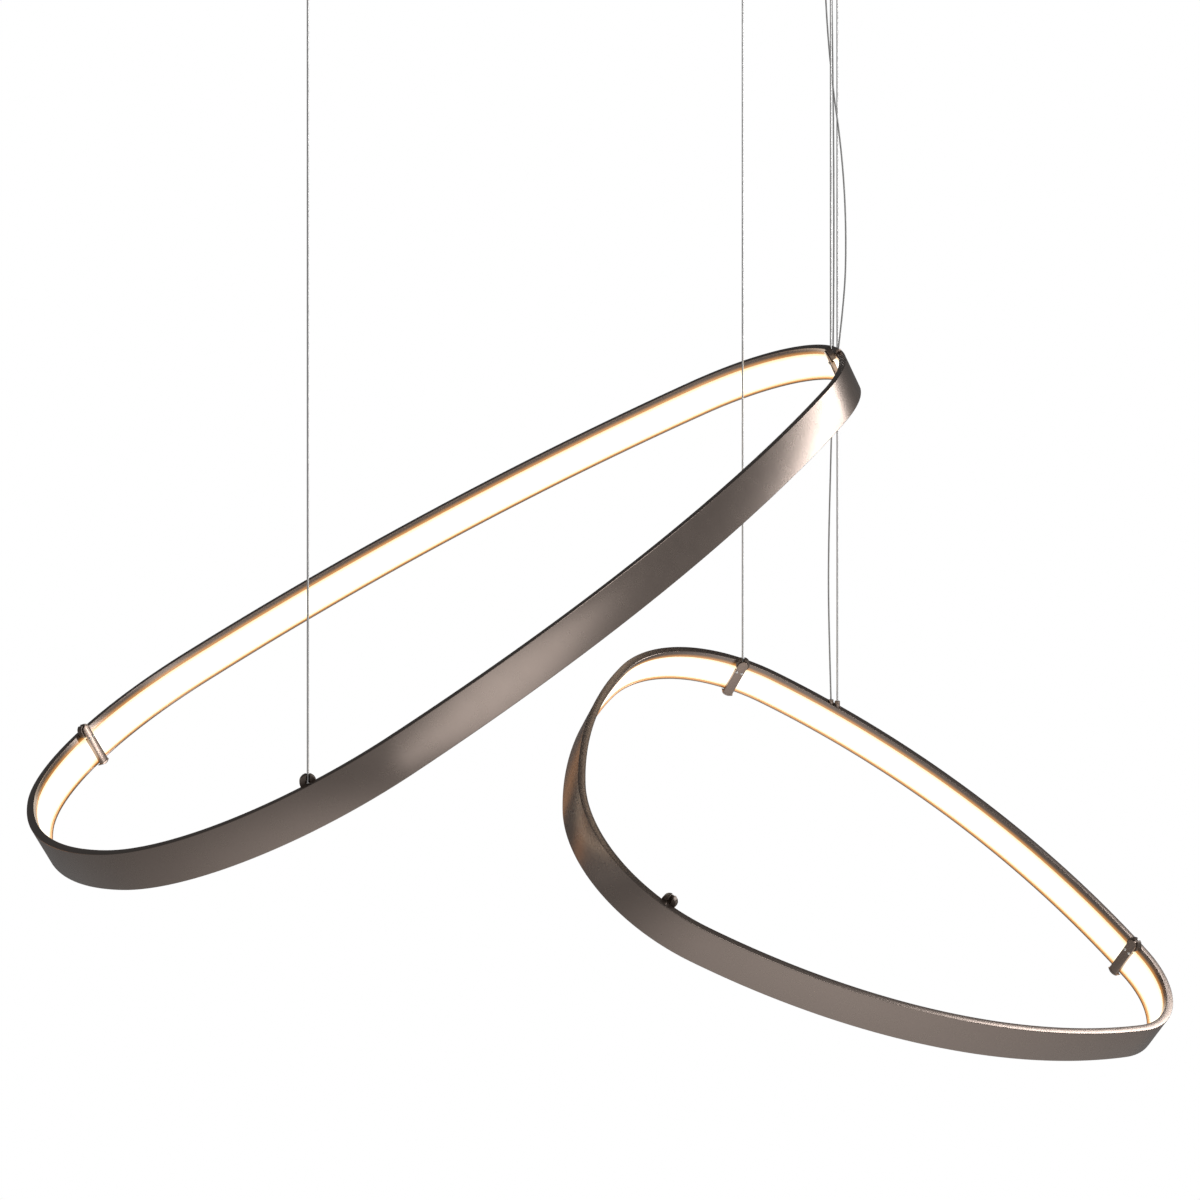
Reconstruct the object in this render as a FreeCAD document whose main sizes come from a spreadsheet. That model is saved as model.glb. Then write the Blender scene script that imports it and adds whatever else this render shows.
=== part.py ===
"""Two-loop pendant light: two tilted egg-shaped bands with an inward-facing light strip,
hung on thin cables from a ceiling canopy and two single ceiling cups.

Units are millimetres and degrees. +Z is up. The origin is the middle of the canopy's
mounting plate, on the ceiling, so that everything hangs below z = 0.
"""
import FreeCAD, Part
import math
import os
import Sketcher

App = FreeCAD
Vector = App.Vector
Rotation = App.Rotation
Placement = App.Placement

doc = App.newDocument("RingChandelier")

# ----------------------------------------------------------------------------------------
# Driving dimensions
# ----------------------------------------------------------------------------------------
DIMENSIONS = {
    # band section, shared by both loops
    "band_height": 40.0,
    "band_depth": 8.0,
    "band_wall": 1.6,
    "lip_height": 7.0,
    "lip_wall": 1.6,
    "floor_thickness": 1.8,
    "diffuser_thickness": 1.5,
    "diffuser_clearance": 0.1,
    "tape_thickness": 0.4,
    "tape_height": 10.0,
    "tape_glue": 0.1,
    # large loop outline and attitude
    "large_length": 985.0,
    "large_width": 666.0,
    "large_end_radius": 484.0,
    "large_shoulder_radius": 264.0,
    "large_tip_radius": 186.0,
    "large_centre_x": -395.9,
    "large_centre_y": -128.9,
    "large_centre_z": -714.1,
    "large_turn": 21.72,
    "large_pitch": -31.29,
    "large_roll": 6.32,
    # small loop outline and attitude
    "small_length": 668.0,
    "small_width": 486.0,
    "small_end_radius": 480.0,
    "small_shoulder_radius": 169.0,
    "small_tip_radius": 91.0,
    "small_centre_x": 26.9,
    "small_centre_y": -153.7,
    "small_centre_z": -999.6,
    "small_turn": 2.73,
    "small_pitch": 26.27,
    "small_roll": 32.04,
    # places round each loop: the direction of the outward normal, from the tip
    "large_front_clip_angle": -108.75,
    "large_back_clip_angle": 126.0,
    "large_end_clip_angle": -18.0,
    "large_inlet_angle": -21.5,
    "small_left_clip_angle": 105.0,
    "small_right_clip_angle": 49.25,
    "small_front_clip_angle": -106.0,
    "small_inlet_angle": 84.55,
    "small_anchor_angle": 83.95,
    # cable clip
    "clip_width": 7.5,
    "clip_gap": 0.25,
    "bar_depth": 4.5,
    "cheek_thickness": 1.5,
    "lug_width": 13.0,
    "lug_drop": 5.0,
    "lug_reach": 1.2,
    # swivel disc
    "disc_radius": 7.5,
    "disc_thickness": 6.0,
    "disc_gap": 0.6,
    "slot_width": 3.0,
    "nest_radius": 2.35,
    "pin_clearance": 0.05,
    "pin_engagement": 1.1,
    # cable, end stop and power cord
    "cable_radius": 1.0,
    "stop_radius": 1.6,
    "stop_length": 3.2,
    "stop_clearance": 0.2,
    "cord_radius": 0.9,
    "cord_sides": 10.0,
    "inlet_radius": 2.8,
    "inlet_clearance": 1.1,
    "inlet_rise": 1.2,
    "inlet_crown": 2.4,
    "anchor_radius": 2.9,
    "anchor_clearance": 0.45,
    "anchor_rise": 2.6,
    "anchor_crown": 3.4,
    # ceiling canopy
    "canopy_radius": 70.0,
    "canopy_height": 30.0,
    "ceiling_gap": 0.3,
    "canopy_wall": 1.5,
    "plate_thickness": 3.0,
    "screw_hole_radius": 2.25,
    "screw_hole_spacing": 100.0,
    "mains_hole_radius": 6.0,
    "driver_length": 80.0,
    "driver_width": 30.0,
    "driver_height": 18.0,
    "driver_x": 33.0,
    "driver_round": 2.0,
    "terminal_length": 30.0,
    "terminal_width": 16.0,
    "terminal_height": 12.0,
    "terminal_x": -36.0,
    # cable gripper and single ceiling cup
    "gripper_radius": 4.0,
    "gripper_length": 18.0,
    "gripper_nose_radius": 2.6,
    "gripper_nose_length": 4.0,
    "gripper_stem_radius": 3.0,
    "gripper_stem_length": 6.0,
    "nut_radius": 5.0,
    "nut_height": 2.5,
    "cup_radius": 12.0,
    "cup_height": 16.0,
    "cup_wall": 1.2,
    "cup_base_height": 7.0,
    "cup_screw_hole_radius": 2.1,
    # cable and cord exits in the canopy, from its middle
    "large_cord_exit_x": -11.0,
    "large_cord_exit_y": -12.0,
    "small_cord_exit_x": -1.0,
    "small_cord_exit_y": 18.0,
    "gland_radius": 3.2,
    "gland_collar": 2.0,
    "gland_nose_radius": 1.6,
    "gland_length": 7.0,
}

sheet = doc.addObject("Spreadsheet::Sheet", "Sizes")
for row, (alias, value) in enumerate(DIMENSIONS.items(), start=1):
    sheet.set(f"A{row}", alias)
    sheet.set(f"B{row}", str(value))
    sheet.setAlias(f"B{row}", alias)
doc.recompute()


class Size:
    """A length or an angle, with the spreadsheet formula that it comes from."""

    def __init__(self, value, text):
        self.value = value
        self.text = text

    def __add__(self, other):
        other = as_size(other)
        return Size(self.value + other.value, f"({self.text} + {other.text})")

    def __sub__(self, other):
        other = as_size(other)
        return Size(self.value - other.value, f"({self.text} - {other.text})")

    def __mul__(self, other):
        other = as_size(other)
        return Size(self.value * other.value, f"({self.text} * {other.text})")

    def __truediv__(self, other):
        other = as_size(other)
        return Size(self.value / other.value, f"({self.text} / {other.text})")

    def __neg__(self):
        return Size(-self.value, f"(0 - {self.text})")


def as_size(number):
    """Let plain numbers take part in formulas."""
    return number if isinstance(number, Size) else Size(float(number), repr(float(number)))


def size(alias):
    """A driving dimension, read from the sheet."""
    return Size(float(sheet.get(alias)), f"Sizes.{alias}")


# ----------------------------------------------------------------------------------------
# Sketch and feature helpers
# ----------------------------------------------------------------------------------------
def new_body(label, placement):
    """An empty body with its own label and place."""
    body = doc.addObject("PartDesign::Body", label)
    body.Label = label
    body.Placement = placement
    return body


def new_sketch(body, name, plane, lift=None):
    """A sketch on one of the body's origin planes, lifted along the plane's normal."""
    sketch = body.newObject("Sketcher::SketchObject", f"{body.Label}_{name}")
    support = [f for f in body.Origin.OriginFeatures if f.Role == plane][0]
    sketch.AttachmentSupport = [(support, "")]
    sketch.MapMode = "FlatFace"
    if lift is not None:
        sketch.setExpression("AttachmentOffset.Base.z", lift.text)
    return sketch


def bind(sketch, constraint, length):
    """Add a dimension and tie it to its formula."""
    index = sketch.addConstraint(constraint)
    sketch.setExpression(f"Constraints[{index}]", length.text)


def place_point(sketch, geometry, end, x, y):
    """Fix one point of the sketch at two formulas."""
    bind(sketch, Sketcher.Constraint("DistanceX", -1, 1, geometry, end, x.value), x)
    bind(sketch, Sketcher.Constraint("DistanceY", -1, 1, geometry, end, y.value), y)


def polygon(sketch, corners):
    """A closed run of straight lines through corners given as pairs of sizes."""
    corners = [(as_size(x), as_size(y)) for x, y in corners]
    first = None
    previous = None
    for index, (x, y) in enumerate(corners):
        next_x, next_y = corners[(index + 1) % len(corners)]
        line = sketch.addGeometry(
            Part.LineSegment(Vector(x.value, y.value, 0), Vector(next_x.value, next_y.value, 0)), False)
        if previous is None:
            first = line
        else:
            sketch.addConstraint(Sketcher.Constraint("Coincident", previous, 2, line, 1))
        place_point(sketch, line, 1, x, y)
        previous = line
    sketch.addConstraint(Sketcher.Constraint("Coincident", previous, 2, first, 1))


def hexagon(sketch, corner):
    """Six equal sides, with the corners at a radius from the middle."""
    polygon(sketch, [(corner * math.cos(math.pi * k / 3), corner * math.sin(math.pi * k / 3))
                     for k in range(6)])


def circle(sketch, x, y, radius):
    """A full circle."""
    x = as_size(x)
    y = as_size(y)
    ring = sketch.addGeometry(
        Part.Circle(Vector(x.value, y.value, 0), Vector(0, 0, 1), radius.value), False)
    place_point(sketch, ring, 3, x, y)
    bind(sketch, Sketcher.Constraint("Radius", ring, radius.value), radius)


def pad(body, name, sketch, length, both_ways=False, backwards=False):
    """Extrude a sketch."""
    feature = body.newObject("PartDesign::Pad", f"{body.Label}_{name}")
    feature.Profile = sketch
    feature.setExpression("Length", as_size(length).text)
    feature.Midplane = both_ways
    feature.Reversed = backwards


def pocket(body, name, sketch, length=None, both_ways=False, backwards=False):
    """Cut a sketch out of the body, through it all when no length is given."""
    doc.recompute()
    before = body.Shape.Volume
    feature = body.newObject("PartDesign::Pocket", f"{body.Label}_{name}")
    feature.Profile = sketch
    feature.Midplane = both_ways
    feature.Reversed = backwards
    if length is None:
        feature.Type = "ThroughAll"
    else:
        feature.setExpression("Length", as_size(length).text)
    doc.recompute()
    if body.Shape.Volume > before - 1e-3:
        raise RuntimeError(f"{feature.Name} cuts nothing")


def turned(label, placement, corners):
    """A piece turned about its own Z axis from a profile of (radius, height) corners."""
    body = new_body(label, placement)
    sketch = new_sketch(body, "profile", "XZ_Plane")
    polygon(sketch, corners)
    feature = body.newObject("PartDesign::Revolution", f"{label}_turning")
    feature.Profile = sketch
    feature.ReferenceAxis = (sketch, ["V_Axis"])
    feature.Angle = 360
    return body


# ----------------------------------------------------------------------------------------
# The egg outline
# ----------------------------------------------------------------------------------------
class Loop:
    """One egg-shaped loop: a blunt end, two shoulders, two long sides and a round tip.

    In its own plane the long axis lies along X with the tip at +X, and the outline is
    six arcs, each tangent to the next. The widest points are where shoulders meet sides.
    """

    def __init__(self, name):
        self.name = name
        self.length = size(f"{name}_length")
        self.width = size(f"{name}_width")
        self.end_radius = size(f"{name}_end_radius")
        self.shoulder_radius = size(f"{name}_shoulder_radius")
        self.tip_radius = size(f"{name}_tip_radius")
        self.end_x = self.end_radius - self.length / 2
        self.tip_x = self.length / 2 - self.tip_radius
        self.shoulder_y = self.width / 2 - self.shoulder_radius
        half = self.width.value / 2
        self.end_turn = math.acos((half - self.shoulder_radius.value)
                                  / (self.end_radius.value - self.shoulder_radius.value))
        self.widest_x = (self.end_x.value - (self.end_radius.value - self.shoulder_radius.value)
                         * math.sin(self.end_turn))
        reach = self.tip_x.value - self.widest_x
        self.side_radius = ((half ** 2 + reach ** 2 - self.tip_radius.value ** 2)
                            / (2 * half - 2 * self.tip_radius.value))
        self.side_turn = math.atan2(reach, self.side_radius - half)
        self.placement = Placement(
            Vector(*[size(f"{name}_centre_{axis}").value for axis in "xyz"]),
            Rotation(*[size(f"{name}_{angle}").value for angle in ("turn", "pitch", "roll")]))

    def arcs(self):
        """Centre, radius and first and last angle of each arc, anticlockwise from the tip."""
        tip_half = math.pi / 2 - self.side_turn
        end_half = math.pi / 2 + self.end_turn
        right = math.pi / 2
        side_y = self.width.value / 2 - self.side_radius
        shoulder_y = self.shoulder_y.value
        widest = self.widest_x
        return [
            ("tip", self.tip_x.value, 0.0, self.tip_radius.value, -tip_half, tip_half),
            ("side", widest, side_y, self.side_radius, tip_half, right),
            ("shoulder", widest, shoulder_y, self.shoulder_radius.value, right, end_half),
            ("end", self.end_x.value, 0.0, self.end_radius.value, end_half, 2 * math.pi - end_half),
            ("shoulder", widest, -shoulder_y, self.shoulder_radius.value,
             2 * math.pi - end_half, 2 * math.pi - right),
            ("side", widest, -side_y, self.side_radius, 2 * math.pi - right, 2 * math.pi - tip_half),
        ]

    def draw(self, sketch, inset):
        """Draw the outline moved inwards by a size, tied to the driving dimensions."""
        arcs = self.arcs()
        pieces = []
        for _, x, y, radius, start, stop in arcs:
            ring = Part.Circle(Vector(x, y, 0), Vector(0, 0, 1), radius - inset.value)
            pieces.append(Part.ArcOfCircle(ring, start, stop))
        first = sketch.addGeometry(pieces, False)[0]
        tip, side_up, shoulder_up, end, shoulder_down, side_down = range(first, first + 6)
        order = [tip, side_up, shoulder_up, end, shoulder_down, side_down]
        for one, other in zip(order, order[1:] + order[:1]):
            sketch.addConstraint(Sketcher.Constraint("Tangent", one, 2, other, 1))
        for arc, centre_x, radius in ((tip, self.tip_x, self.tip_radius),
                                      (end, self.end_x, self.end_radius)):
            sketch.addConstraint(Sketcher.Constraint("PointOnObject", arc, 3, -1))
            bind(sketch, Sketcher.Constraint("DistanceX", -1, 1, arc, 3, centre_x.value), centre_x)
            bind(sketch, Sketcher.Constraint("Radius", arc, radius.value - inset.value),
                 radius - inset)
        for shoulder, side, centre_y in ((shoulder_up, side_up, self.shoulder_y),
                                         (shoulder_down, side_down, -self.shoulder_y)):
            bind(sketch, Sketcher.Constraint("DistanceY", -1, 1, shoulder, 3, centre_y.value),
                 centre_y)
            bind(sketch, Sketcher.Constraint("Radius", shoulder,
                                             self.shoulder_radius.value - inset.value),
                 self.shoulder_radius - inset)
            sketch.addConstraint(Sketcher.Constraint("Vertical", shoulder, 3, side, 3))

    def ring(self, body, name, outer_inset, inner_inset, bottom, height):
        """Add a wall that follows the loop between two insets and two heights."""
        sketch = new_sketch(body, f"{name}_outline", "XY_Plane", bottom)
        self.draw(sketch, outer_inset)
        self.draw(sketch, inner_inset)
        pad(body, name, sketch, height)

    def inlet_point(self):
        """Where the power cord enters the roof, in the loop's own plane."""
        seat = self.local_frame(size(f"{self.name}_inlet_angle").value)
        return seat.multVec(Vector(0, band_depth.value / 2, 0))

    def local_frame(self, angle):
        """A frame on the outer face, in the loop's own plane, with Y pointing inwards."""
        turn = math.radians(angle)
        for _, x, y, radius, start, stop in self.arcs():
            if start <= turn % (2 * math.pi) <= stop or start <= turn <= stop:
                point = Vector(x + radius * math.cos(turn), y + radius * math.sin(turn), 0)
        return Placement(point, Rotation(angle + 90, 0, 0))

    def frame_at(self, angle):
        """A frame on the outer face: X along the band, Y inwards, Z across the band."""
        return self.placement.multiply(self.local_frame(angle))


# ----------------------------------------------------------------------------------------
# Band, diffuser and light tape
# ----------------------------------------------------------------------------------------
band_height = size("band_height")
band_depth = size("band_depth")
band_wall = size("band_wall")
lip_height = size("lip_height")
lip_wall = size("lip_wall")
floor_thickness = size("floor_thickness")
diffuser_thickness = size("diffuser_thickness")
diffuser_clearance = size("diffuser_clearance")
band_top = band_height / 2
band_bottom = -band_top
floor_top = band_bottom + floor_thickness
roof_bottom = band_top - band_wall
diffuser_front = band_depth - lip_wall - diffuser_clearance
diffuser_back = diffuser_front - diffuser_thickness


def make_band(loop):
    """The bent channel: outer wall, roof with its long lip, floor with its short lip."""
    body = new_body(f"{loop.name}_band", loop.placement)
    loop.ring(body, "wall", as_size(0), band_wall, band_bottom, band_height)
    loop.ring(body, "roof", band_wall, band_depth, roof_bottom, band_wall)
    loop.ring(body, "lip", band_depth - lip_wall, band_depth, band_top - lip_height,
              lip_height - band_wall)
    loop.ring(body, "floor", band_wall, band_depth, band_bottom, floor_thickness)
    drill = new_sketch(body, "cord_hole_outline", "XY_Plane", roof_bottom)
    entry = loop.inlet_point()
    circle(drill, entry.x, entry.y, size("cord_radius") + size("inlet_clearance"))
    pocket(body, "cord_hole", drill, band_wall * 2, both_ways=True)


def make_strip(loop):
    """The opal diffuser, snapped behind the long lip, and the tape of lights behind it."""
    diffuser = new_body(f"{loop.name}_diffuser", loop.placement)
    diffuser_height = roof_bottom - floor_top - diffuser_clearance * 2
    loop.ring(diffuser, "strip", diffuser_back, diffuser_front, floor_top + diffuser_clearance,
              diffuser_height)
    tape = new_body(f"{loop.name}_led_tape", loop.placement)
    tape_back = band_wall + size("tape_glue")
    tape_front = tape_back + size("tape_thickness")
    loop.ring(tape, "strip", tape_back, tape_front, -(size("tape_height") / 2),
              size("tape_height"))


# ----------------------------------------------------------------------------------------
# Cable clips
# ----------------------------------------------------------------------------------------
clip_width = size("clip_width")
clip_gap = size("clip_gap")
bar_depth = size("bar_depth")
cheek_thickness = size("cheek_thickness")
disc_radius = size("disc_radius")
disc_thickness = size("disc_thickness")
disc_gap = size("disc_gap")
nest_radius = size("nest_radius")
stop_radius = size("stop_radius")
stop_length = size("stop_length")
cable_radius = size("cable_radius")
disc_back = band_depth + disc_gap
disc_front = disc_back + disc_thickness
cheek_back = disc_front + clip_gap
cheek_front = cheek_back + cheek_thickness
bar_back = cheek_front - bar_depth
disc_height = band_top
stop_inset = disc_back + nest_radius
lug_top = band_bottom
lug_bottom = lug_top - size("lug_drop")


def offset_placement(x, y, z, rotation=None):
    """A place inside a local frame."""
    return Placement(Vector(x, y, z), rotation or Rotation())


def arch(sketch, half_width, foot, spring, middle, upwards):
    """A closed outline: an arc about the middle height, between two points over a foot line."""
    radius = math.hypot(half_width.value, spring.value - middle.value)
    reach = math.asin(min(1.0, half_width.value / radius))
    centre = math.pi / 2 * upwards
    ring = Part.Circle(Vector(0, middle.value, 0), Vector(0, 0, 1), radius)
    curve = sketch.addGeometry(Part.ArcOfCircle(ring, centre - reach, centre + reach), False)
    bind(sketch, Sketcher.Constraint("DistanceY", -1, 1, curve, 3, middle.value), middle)
    from_x = half_width if upwards < 0 else -half_width
    corners = [(from_x, spring), (from_x, foot), (-from_x, foot), (-from_x, spring)]
    if abs(foot.value - spring.value) < 1e-9:
        corners = [corners[0], corners[-1]]
    last = None
    for one, other in zip(corners, corners[1:]):
        line = sketch.addGeometry(Part.LineSegment(
            Vector(one[0].value, one[1].value, 0), Vector(other[0].value, other[1].value, 0)), False)
        joined = (curve, 2) if last is None else (last, 2)
        sketch.addConstraint(Sketcher.Constraint("Coincident", joined[0], joined[1], line, 1))
        place_point(sketch, line, 1, one[0], one[1])
        last = line
    sketch.addConstraint(Sketcher.Constraint("Coincident", last, 2, curve, 1))
    place_point(sketch, last, 2, corners[-1][0], corners[-1][1])


def make_clip(label, frame):
    """The C-shaped clip: a bar inside the loop, a cheek for the pin and a lug underneath."""
    body = new_body(label, frame)
    bar_top = disc_height - disc_radius - clip_gap * 2
    half_width = clip_width / 2
    profile = new_sketch(body, "bar_outline", "XZ_Plane", -bar_back)
    polygon(profile, [(-half_width, lug_top), (half_width, lug_top), (half_width, bar_top),
                      (-half_width, bar_top)])
    pad(body, "bar", profile, cheek_back - bar_back, backwards=True)
    cheek = new_sketch(body, "cheek_outline", "XZ_Plane", -cheek_back)
    arch(cheek, half_width, lug_top, disc_height, disc_height, 1)
    pad(body, "cheek", cheek, cheek_thickness, backwards=True)
    lug = new_sketch(body, "lug_outline", "XZ_Plane", -size("lug_reach"))
    half = size("lug_width") / 2
    drop = size("lug_drop")
    lug_radius = (half * half + drop * drop) / (drop * 2)
    arch(lug, half, lug_top, lug_top, lug_bottom + lug_radius, -1)
    pad(body, "lug", lug, cheek_front - size("lug_reach"), backwards=True)
    pin = new_sketch(body, "pin_outline", "XZ_Plane", -cheek_back)
    circle(pin, 0, disc_height, nest_radius - size("pin_clearance"))
    pad(body, "pin", pin, size("pin_engagement") + clip_gap)


def make_swivel(label, frame, lean):
    """The slotted disc that turns on the pin so that its slot follows the cable."""
    seat = frame.multiply(offset_placement(0, 0, disc_height.value, Rotation(Vector(0, 1, 0), lean)))
    body = new_body(label, seat)
    outline = new_sketch(body, "outline", "XZ_Plane", -disc_back)
    circle(outline, 0, 0, disc_radius)
    pad(body, "disc", outline, disc_thickness, backwards=True)
    slot = new_sketch(body, "slot_outline", "XZ_Plane", -disc_back)
    half_slot = size("slot_width") / 2
    polygon(slot, [(-half_slot, 0), (half_slot, 0), (half_slot, disc_radius * 2),
                   (-half_slot, disc_radius * 2)])
    pocket(body, "slot", slot, disc_thickness)
    nest = new_sketch(body, "nest_outline", "XZ_Plane", -disc_back)
    circle(nest, 0, 0, nest_radius)
    pocket(body, "nest", nest, disc_thickness)


def make_feature(label, shape):
    """A plain shape as an object of the document."""
    feature = doc.addObject("Part::Feature", label)
    feature.Label = label
    feature.Shape = shape


def stop_point(frame):
    """Middle of the stop that ends a cable, in a clip."""
    return frame.multVec(Vector(0, stop_inset.value, disc_height.value))


def slot_lean(frame):
    """How far the disc turns from the clip's own direction so that its slot points up."""
    up = frame.Rotation.inverted().multVec(Vector(0, 0, 1))
    return math.degrees(math.atan2(up.x, up.z))


# ----------------------------------------------------------------------------------------
# Cable ends on top of the band
# ----------------------------------------------------------------------------------------
def make_barrel(label, loop, angle, kind, bore_radius, seat_radius=None):
    """An upright barrel on the band's slanting roof, bored for what hangs into it."""
    radius = size(f"{kind}_radius").value
    rise = size(f"{kind}_rise").value
    crown = size(f"{kind}_crown").value
    frame = loop.frame_at(angle.value)
    middle = frame.multVec(Vector(0, band_depth.value / 2, band_top.value + rise))
    depth = rise * 3 + radius
    up = Vector(0, 0, 1)
    barrel = Part.makeCylinder(radius, depth + crown, middle - up * depth)
    barrel = barrel.cut(Part.makeCylinder(bore_radius, depth + crown, middle - up * depth))
    if seat_radius is not None:
        top = stop_length.value / 2 + size("stop_clearance").value
        barrel = barrel.cut(Part.makeCylinder(seat_radius, depth + top, middle - up * depth))
    block = Part.makeBox(depth * 6, depth * 6, depth * 6, Vector(-depth * 3, -depth * 3, 0))
    block.Placement = frame.multiply(offset_placement(0, band_depth.value / 2, band_top.value)).multiply(
        block.Placement)
    make_feature(label, barrel.common(block))
    return middle, middle + up * crown


# ----------------------------------------------------------------------------------------
# Cables and power cords
# ----------------------------------------------------------------------------------------
def make_cable(label, bottom, top_z):
    """A tight, straight suspension cable from the top of its ferrule up to its gripper."""
    cable = doc.addObject("Part::Cylinder", label)
    cable.Label = label
    cable.setExpression("Radius", cable_radius.text)
    foot = bottom + Vector(0, 0, stop_length.value / 2)
    cable.Height = top_z - foot.z
    cable.Placement = Placement(foot, Rotation())


def make_stop(label, middle):
    """The ferrule crimped on a cable's lower end."""
    stop = doc.addObject("Part::Cylinder", label)
    stop.Label = label
    stop.setExpression("Radius", stop_radius.text)
    stop.setExpression("Height", stop_length.text)
    stop.Placement = Placement(middle - Vector(0, 0, stop_length.value / 2), Rotation())


def rounded_path(points):
    """Straight runs joined by tangent arcs as large as the two runs allow."""
    edges = []
    start = points[0]
    radii = []
    for before, corner, after in zip(points, points[1:], points[2:]):
        towards = (corner - before).normalize()
        away = (after - corner).normalize()
        turn = towards.getAngle(away)
        reach = 0.45 * min(before.distanceToPoint(corner), corner.distanceToPoint(after))
        radii.append(reach / math.tan(turn / 2))
        entry = corner - towards * reach
        leave = corner + away * reach
        inward = (away - towards).normalize()
        depth = radii[-1] / math.cos(turn / 2) - radii[-1]
        edges.append(Part.LineSegment(start, entry).toShape())
        edges.append(Part.Arc(entry, corner + inward * depth, leave).toShape())
        start = leave
    edges.append(Part.LineSegment(start, points[-1]).toShape())
    return Part.Wire(edges), radii


def make_cord(label, points, radius):
    """A round cord swept along its route."""
    path, radii = rounded_path(points)
    sides = int(size("cord_sides").value)
    turn = Placement(points[0], Rotation(Vector(0, 0, 1), points[1] - points[0]))
    rim = [turn.multVec(Vector(radius * math.cos(2 * math.pi * side / sides),
                               radius * math.sin(2 * math.pi * side / sides), 0))
           for side in range(sides)]
    tube = path.makePipeShell([Part.makePolygon(rim + rim[:1])], True, False)
    area = sides * radius ** 2 * math.sin(2 * math.pi / sides) / 2
    expected = area * path.Length
    print(f"{label}: length {path.Length:.1f}, volume {tube.Volume:.1f} for {expected:.1f},"
          f" radii {min(radii):.0f} to {max(radii):.0f}")
    if abs(tube.Volume - expected) > 0.02 * expected:
        raise RuntimeError(f"{label} has the wrong volume")
    make_feature(label, tube)


# ----------------------------------------------------------------------------------------
# Ceiling canopy, grippers and cups
# ----------------------------------------------------------------------------------------
canopy_radius = size("canopy_radius")
canopy_height = size("canopy_height")
canopy_wall = size("canopy_wall")
canopy_floor = -(canopy_height - canopy_wall)
ceiling_gap = size("ceiling_gap")
plate_radius = canopy_radius - canopy_wall
plate_thickness = size("plate_thickness")
gripper_radius = size("gripper_radius")
gripper_length = size("gripper_length")
stem_radius = size("gripper_stem_radius")
stem_length = size("gripper_stem_length")
cup_radius = size("cup_radius")
cup_height = size("cup_height")
cup_wall = size("cup_wall")
gland_radius = size("gland_radius")


def make_canopy(exits):
    """The mounting plate, and the cover that snaps round it, bored for each gripper."""
    plate = turned("canopy_plate", Placement(), [
        (0, 0), (plate_radius, 0), (plate_radius, -plate_thickness), (0, -plate_thickness)])
    drill = new_sketch(plate, "holes", "XY_Plane")
    half_spacing = size("screw_hole_spacing") / 2
    for side in (half_spacing, -half_spacing):
        circle(drill, 0, side, size("screw_hole_radius"))
    circle(drill, 0, 0, size("mains_hole_radius"))
    pocket(plate, "screw_and_mains_holes", drill, both_ways=True)
    cover = turned("canopy_cover", Placement(), [
        (0, -canopy_height), (canopy_radius, -canopy_height), (canopy_radius, -ceiling_gap),
        (canopy_radius - canopy_wall, -ceiling_gap), (canopy_radius - canopy_wall, canopy_floor),
        (0, canopy_floor)])
    holes = new_sketch(cover, "exits", "XY_Plane")
    for x, y in exits:
        circle(holes, x, y, stem_radius)
    pocket(cover, "exit_holes", holes, both_ways=True)


def make_electrics():
    """The power supply and the terminal block, both on the underside of the plate."""
    driver = new_body("power_supply", offset_placement(size("driver_x").value, 0, 0))
    outline = new_sketch(driver, "outline", "XY_Plane", -plate_thickness)
    half_width = size("driver_width") / 2
    half_length = size("driver_length") / 2
    corner = size("driver_round")
    polygon(outline, [
        (-half_width, -half_length + corner), (-half_width + corner, -half_length),
        (half_width - corner, -half_length), (half_width, -half_length + corner),
        (half_width, half_length - corner), (half_width - corner, half_length),
        (-half_width + corner, half_length), (-half_width, half_length - corner)])
    pad(driver, "case", outline, size("driver_height"), backwards=True)
    block = new_body("terminal_block", offset_placement(size("terminal_x").value, 0, 0))
    outline = new_sketch(block, "outline", "XY_Plane", -plate_thickness)
    half_width = size("terminal_width") / 2
    half_length = size("terminal_length") / 2
    polygon(outline, [(-half_width, -half_length), (half_width, -half_length),
                      (half_width, half_length), (-half_width, half_length)])
    pad(block, "case", outline, size("terminal_height"), backwards=True)


def make_gripper(prefix, x, y, seat_z):
    """A cable gripper hung under a cover at seat_z, held by a nut above it."""
    nose = size("gripper_nose_radius")
    shoulder = size("gripper_nose_length") - gripper_length
    turned(f"{prefix}_gripper", offset_placement(x, y, seat_z), [
        (0, stem_length), (stem_radius, stem_length), (stem_radius, 0),
        (gripper_radius, 0), (gripper_radius, shoulder), (nose, shoulder),
        (nose, -gripper_length), (0, -gripper_length)])
    nut = new_body(f"{prefix}_nut", offset_placement(x, y, seat_z + canopy_wall.value))
    outline = new_sketch(nut, "outline", "XY_Plane")
    hexagon(outline, size("nut_radius"))
    circle(outline, 0, 0, stem_radius)
    pad(nut, "hexagon", outline, size("nut_height"))


def make_cup(prefix, x, y):
    """A single ceiling cup: a base for one screw and a cap that carries the gripper."""
    base = new_body(f"{prefix}_cup_base", offset_placement(x, y, 0))
    outline = new_sketch(base, "outline", "XY_Plane")
    hexagon(outline, cup_radius - cup_wall)
    circle(outline, 0, 0, size("cup_screw_hole_radius"))
    pad(base, "block", outline, size("cup_base_height"), backwards=True)
    floor = -(cup_height - canopy_wall)
    turned(f"{prefix}_cup_cap", offset_placement(x, y, 0), [
        (cup_radius, -ceiling_gap), (cup_radius, -cup_height),
        (stem_radius, -cup_height), (stem_radius, floor), (cup_radius - cup_wall, floor),
        (cup_radius - cup_wall, -ceiling_gap)])
    make_gripper(prefix, x, y, -cup_height.value)


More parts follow.
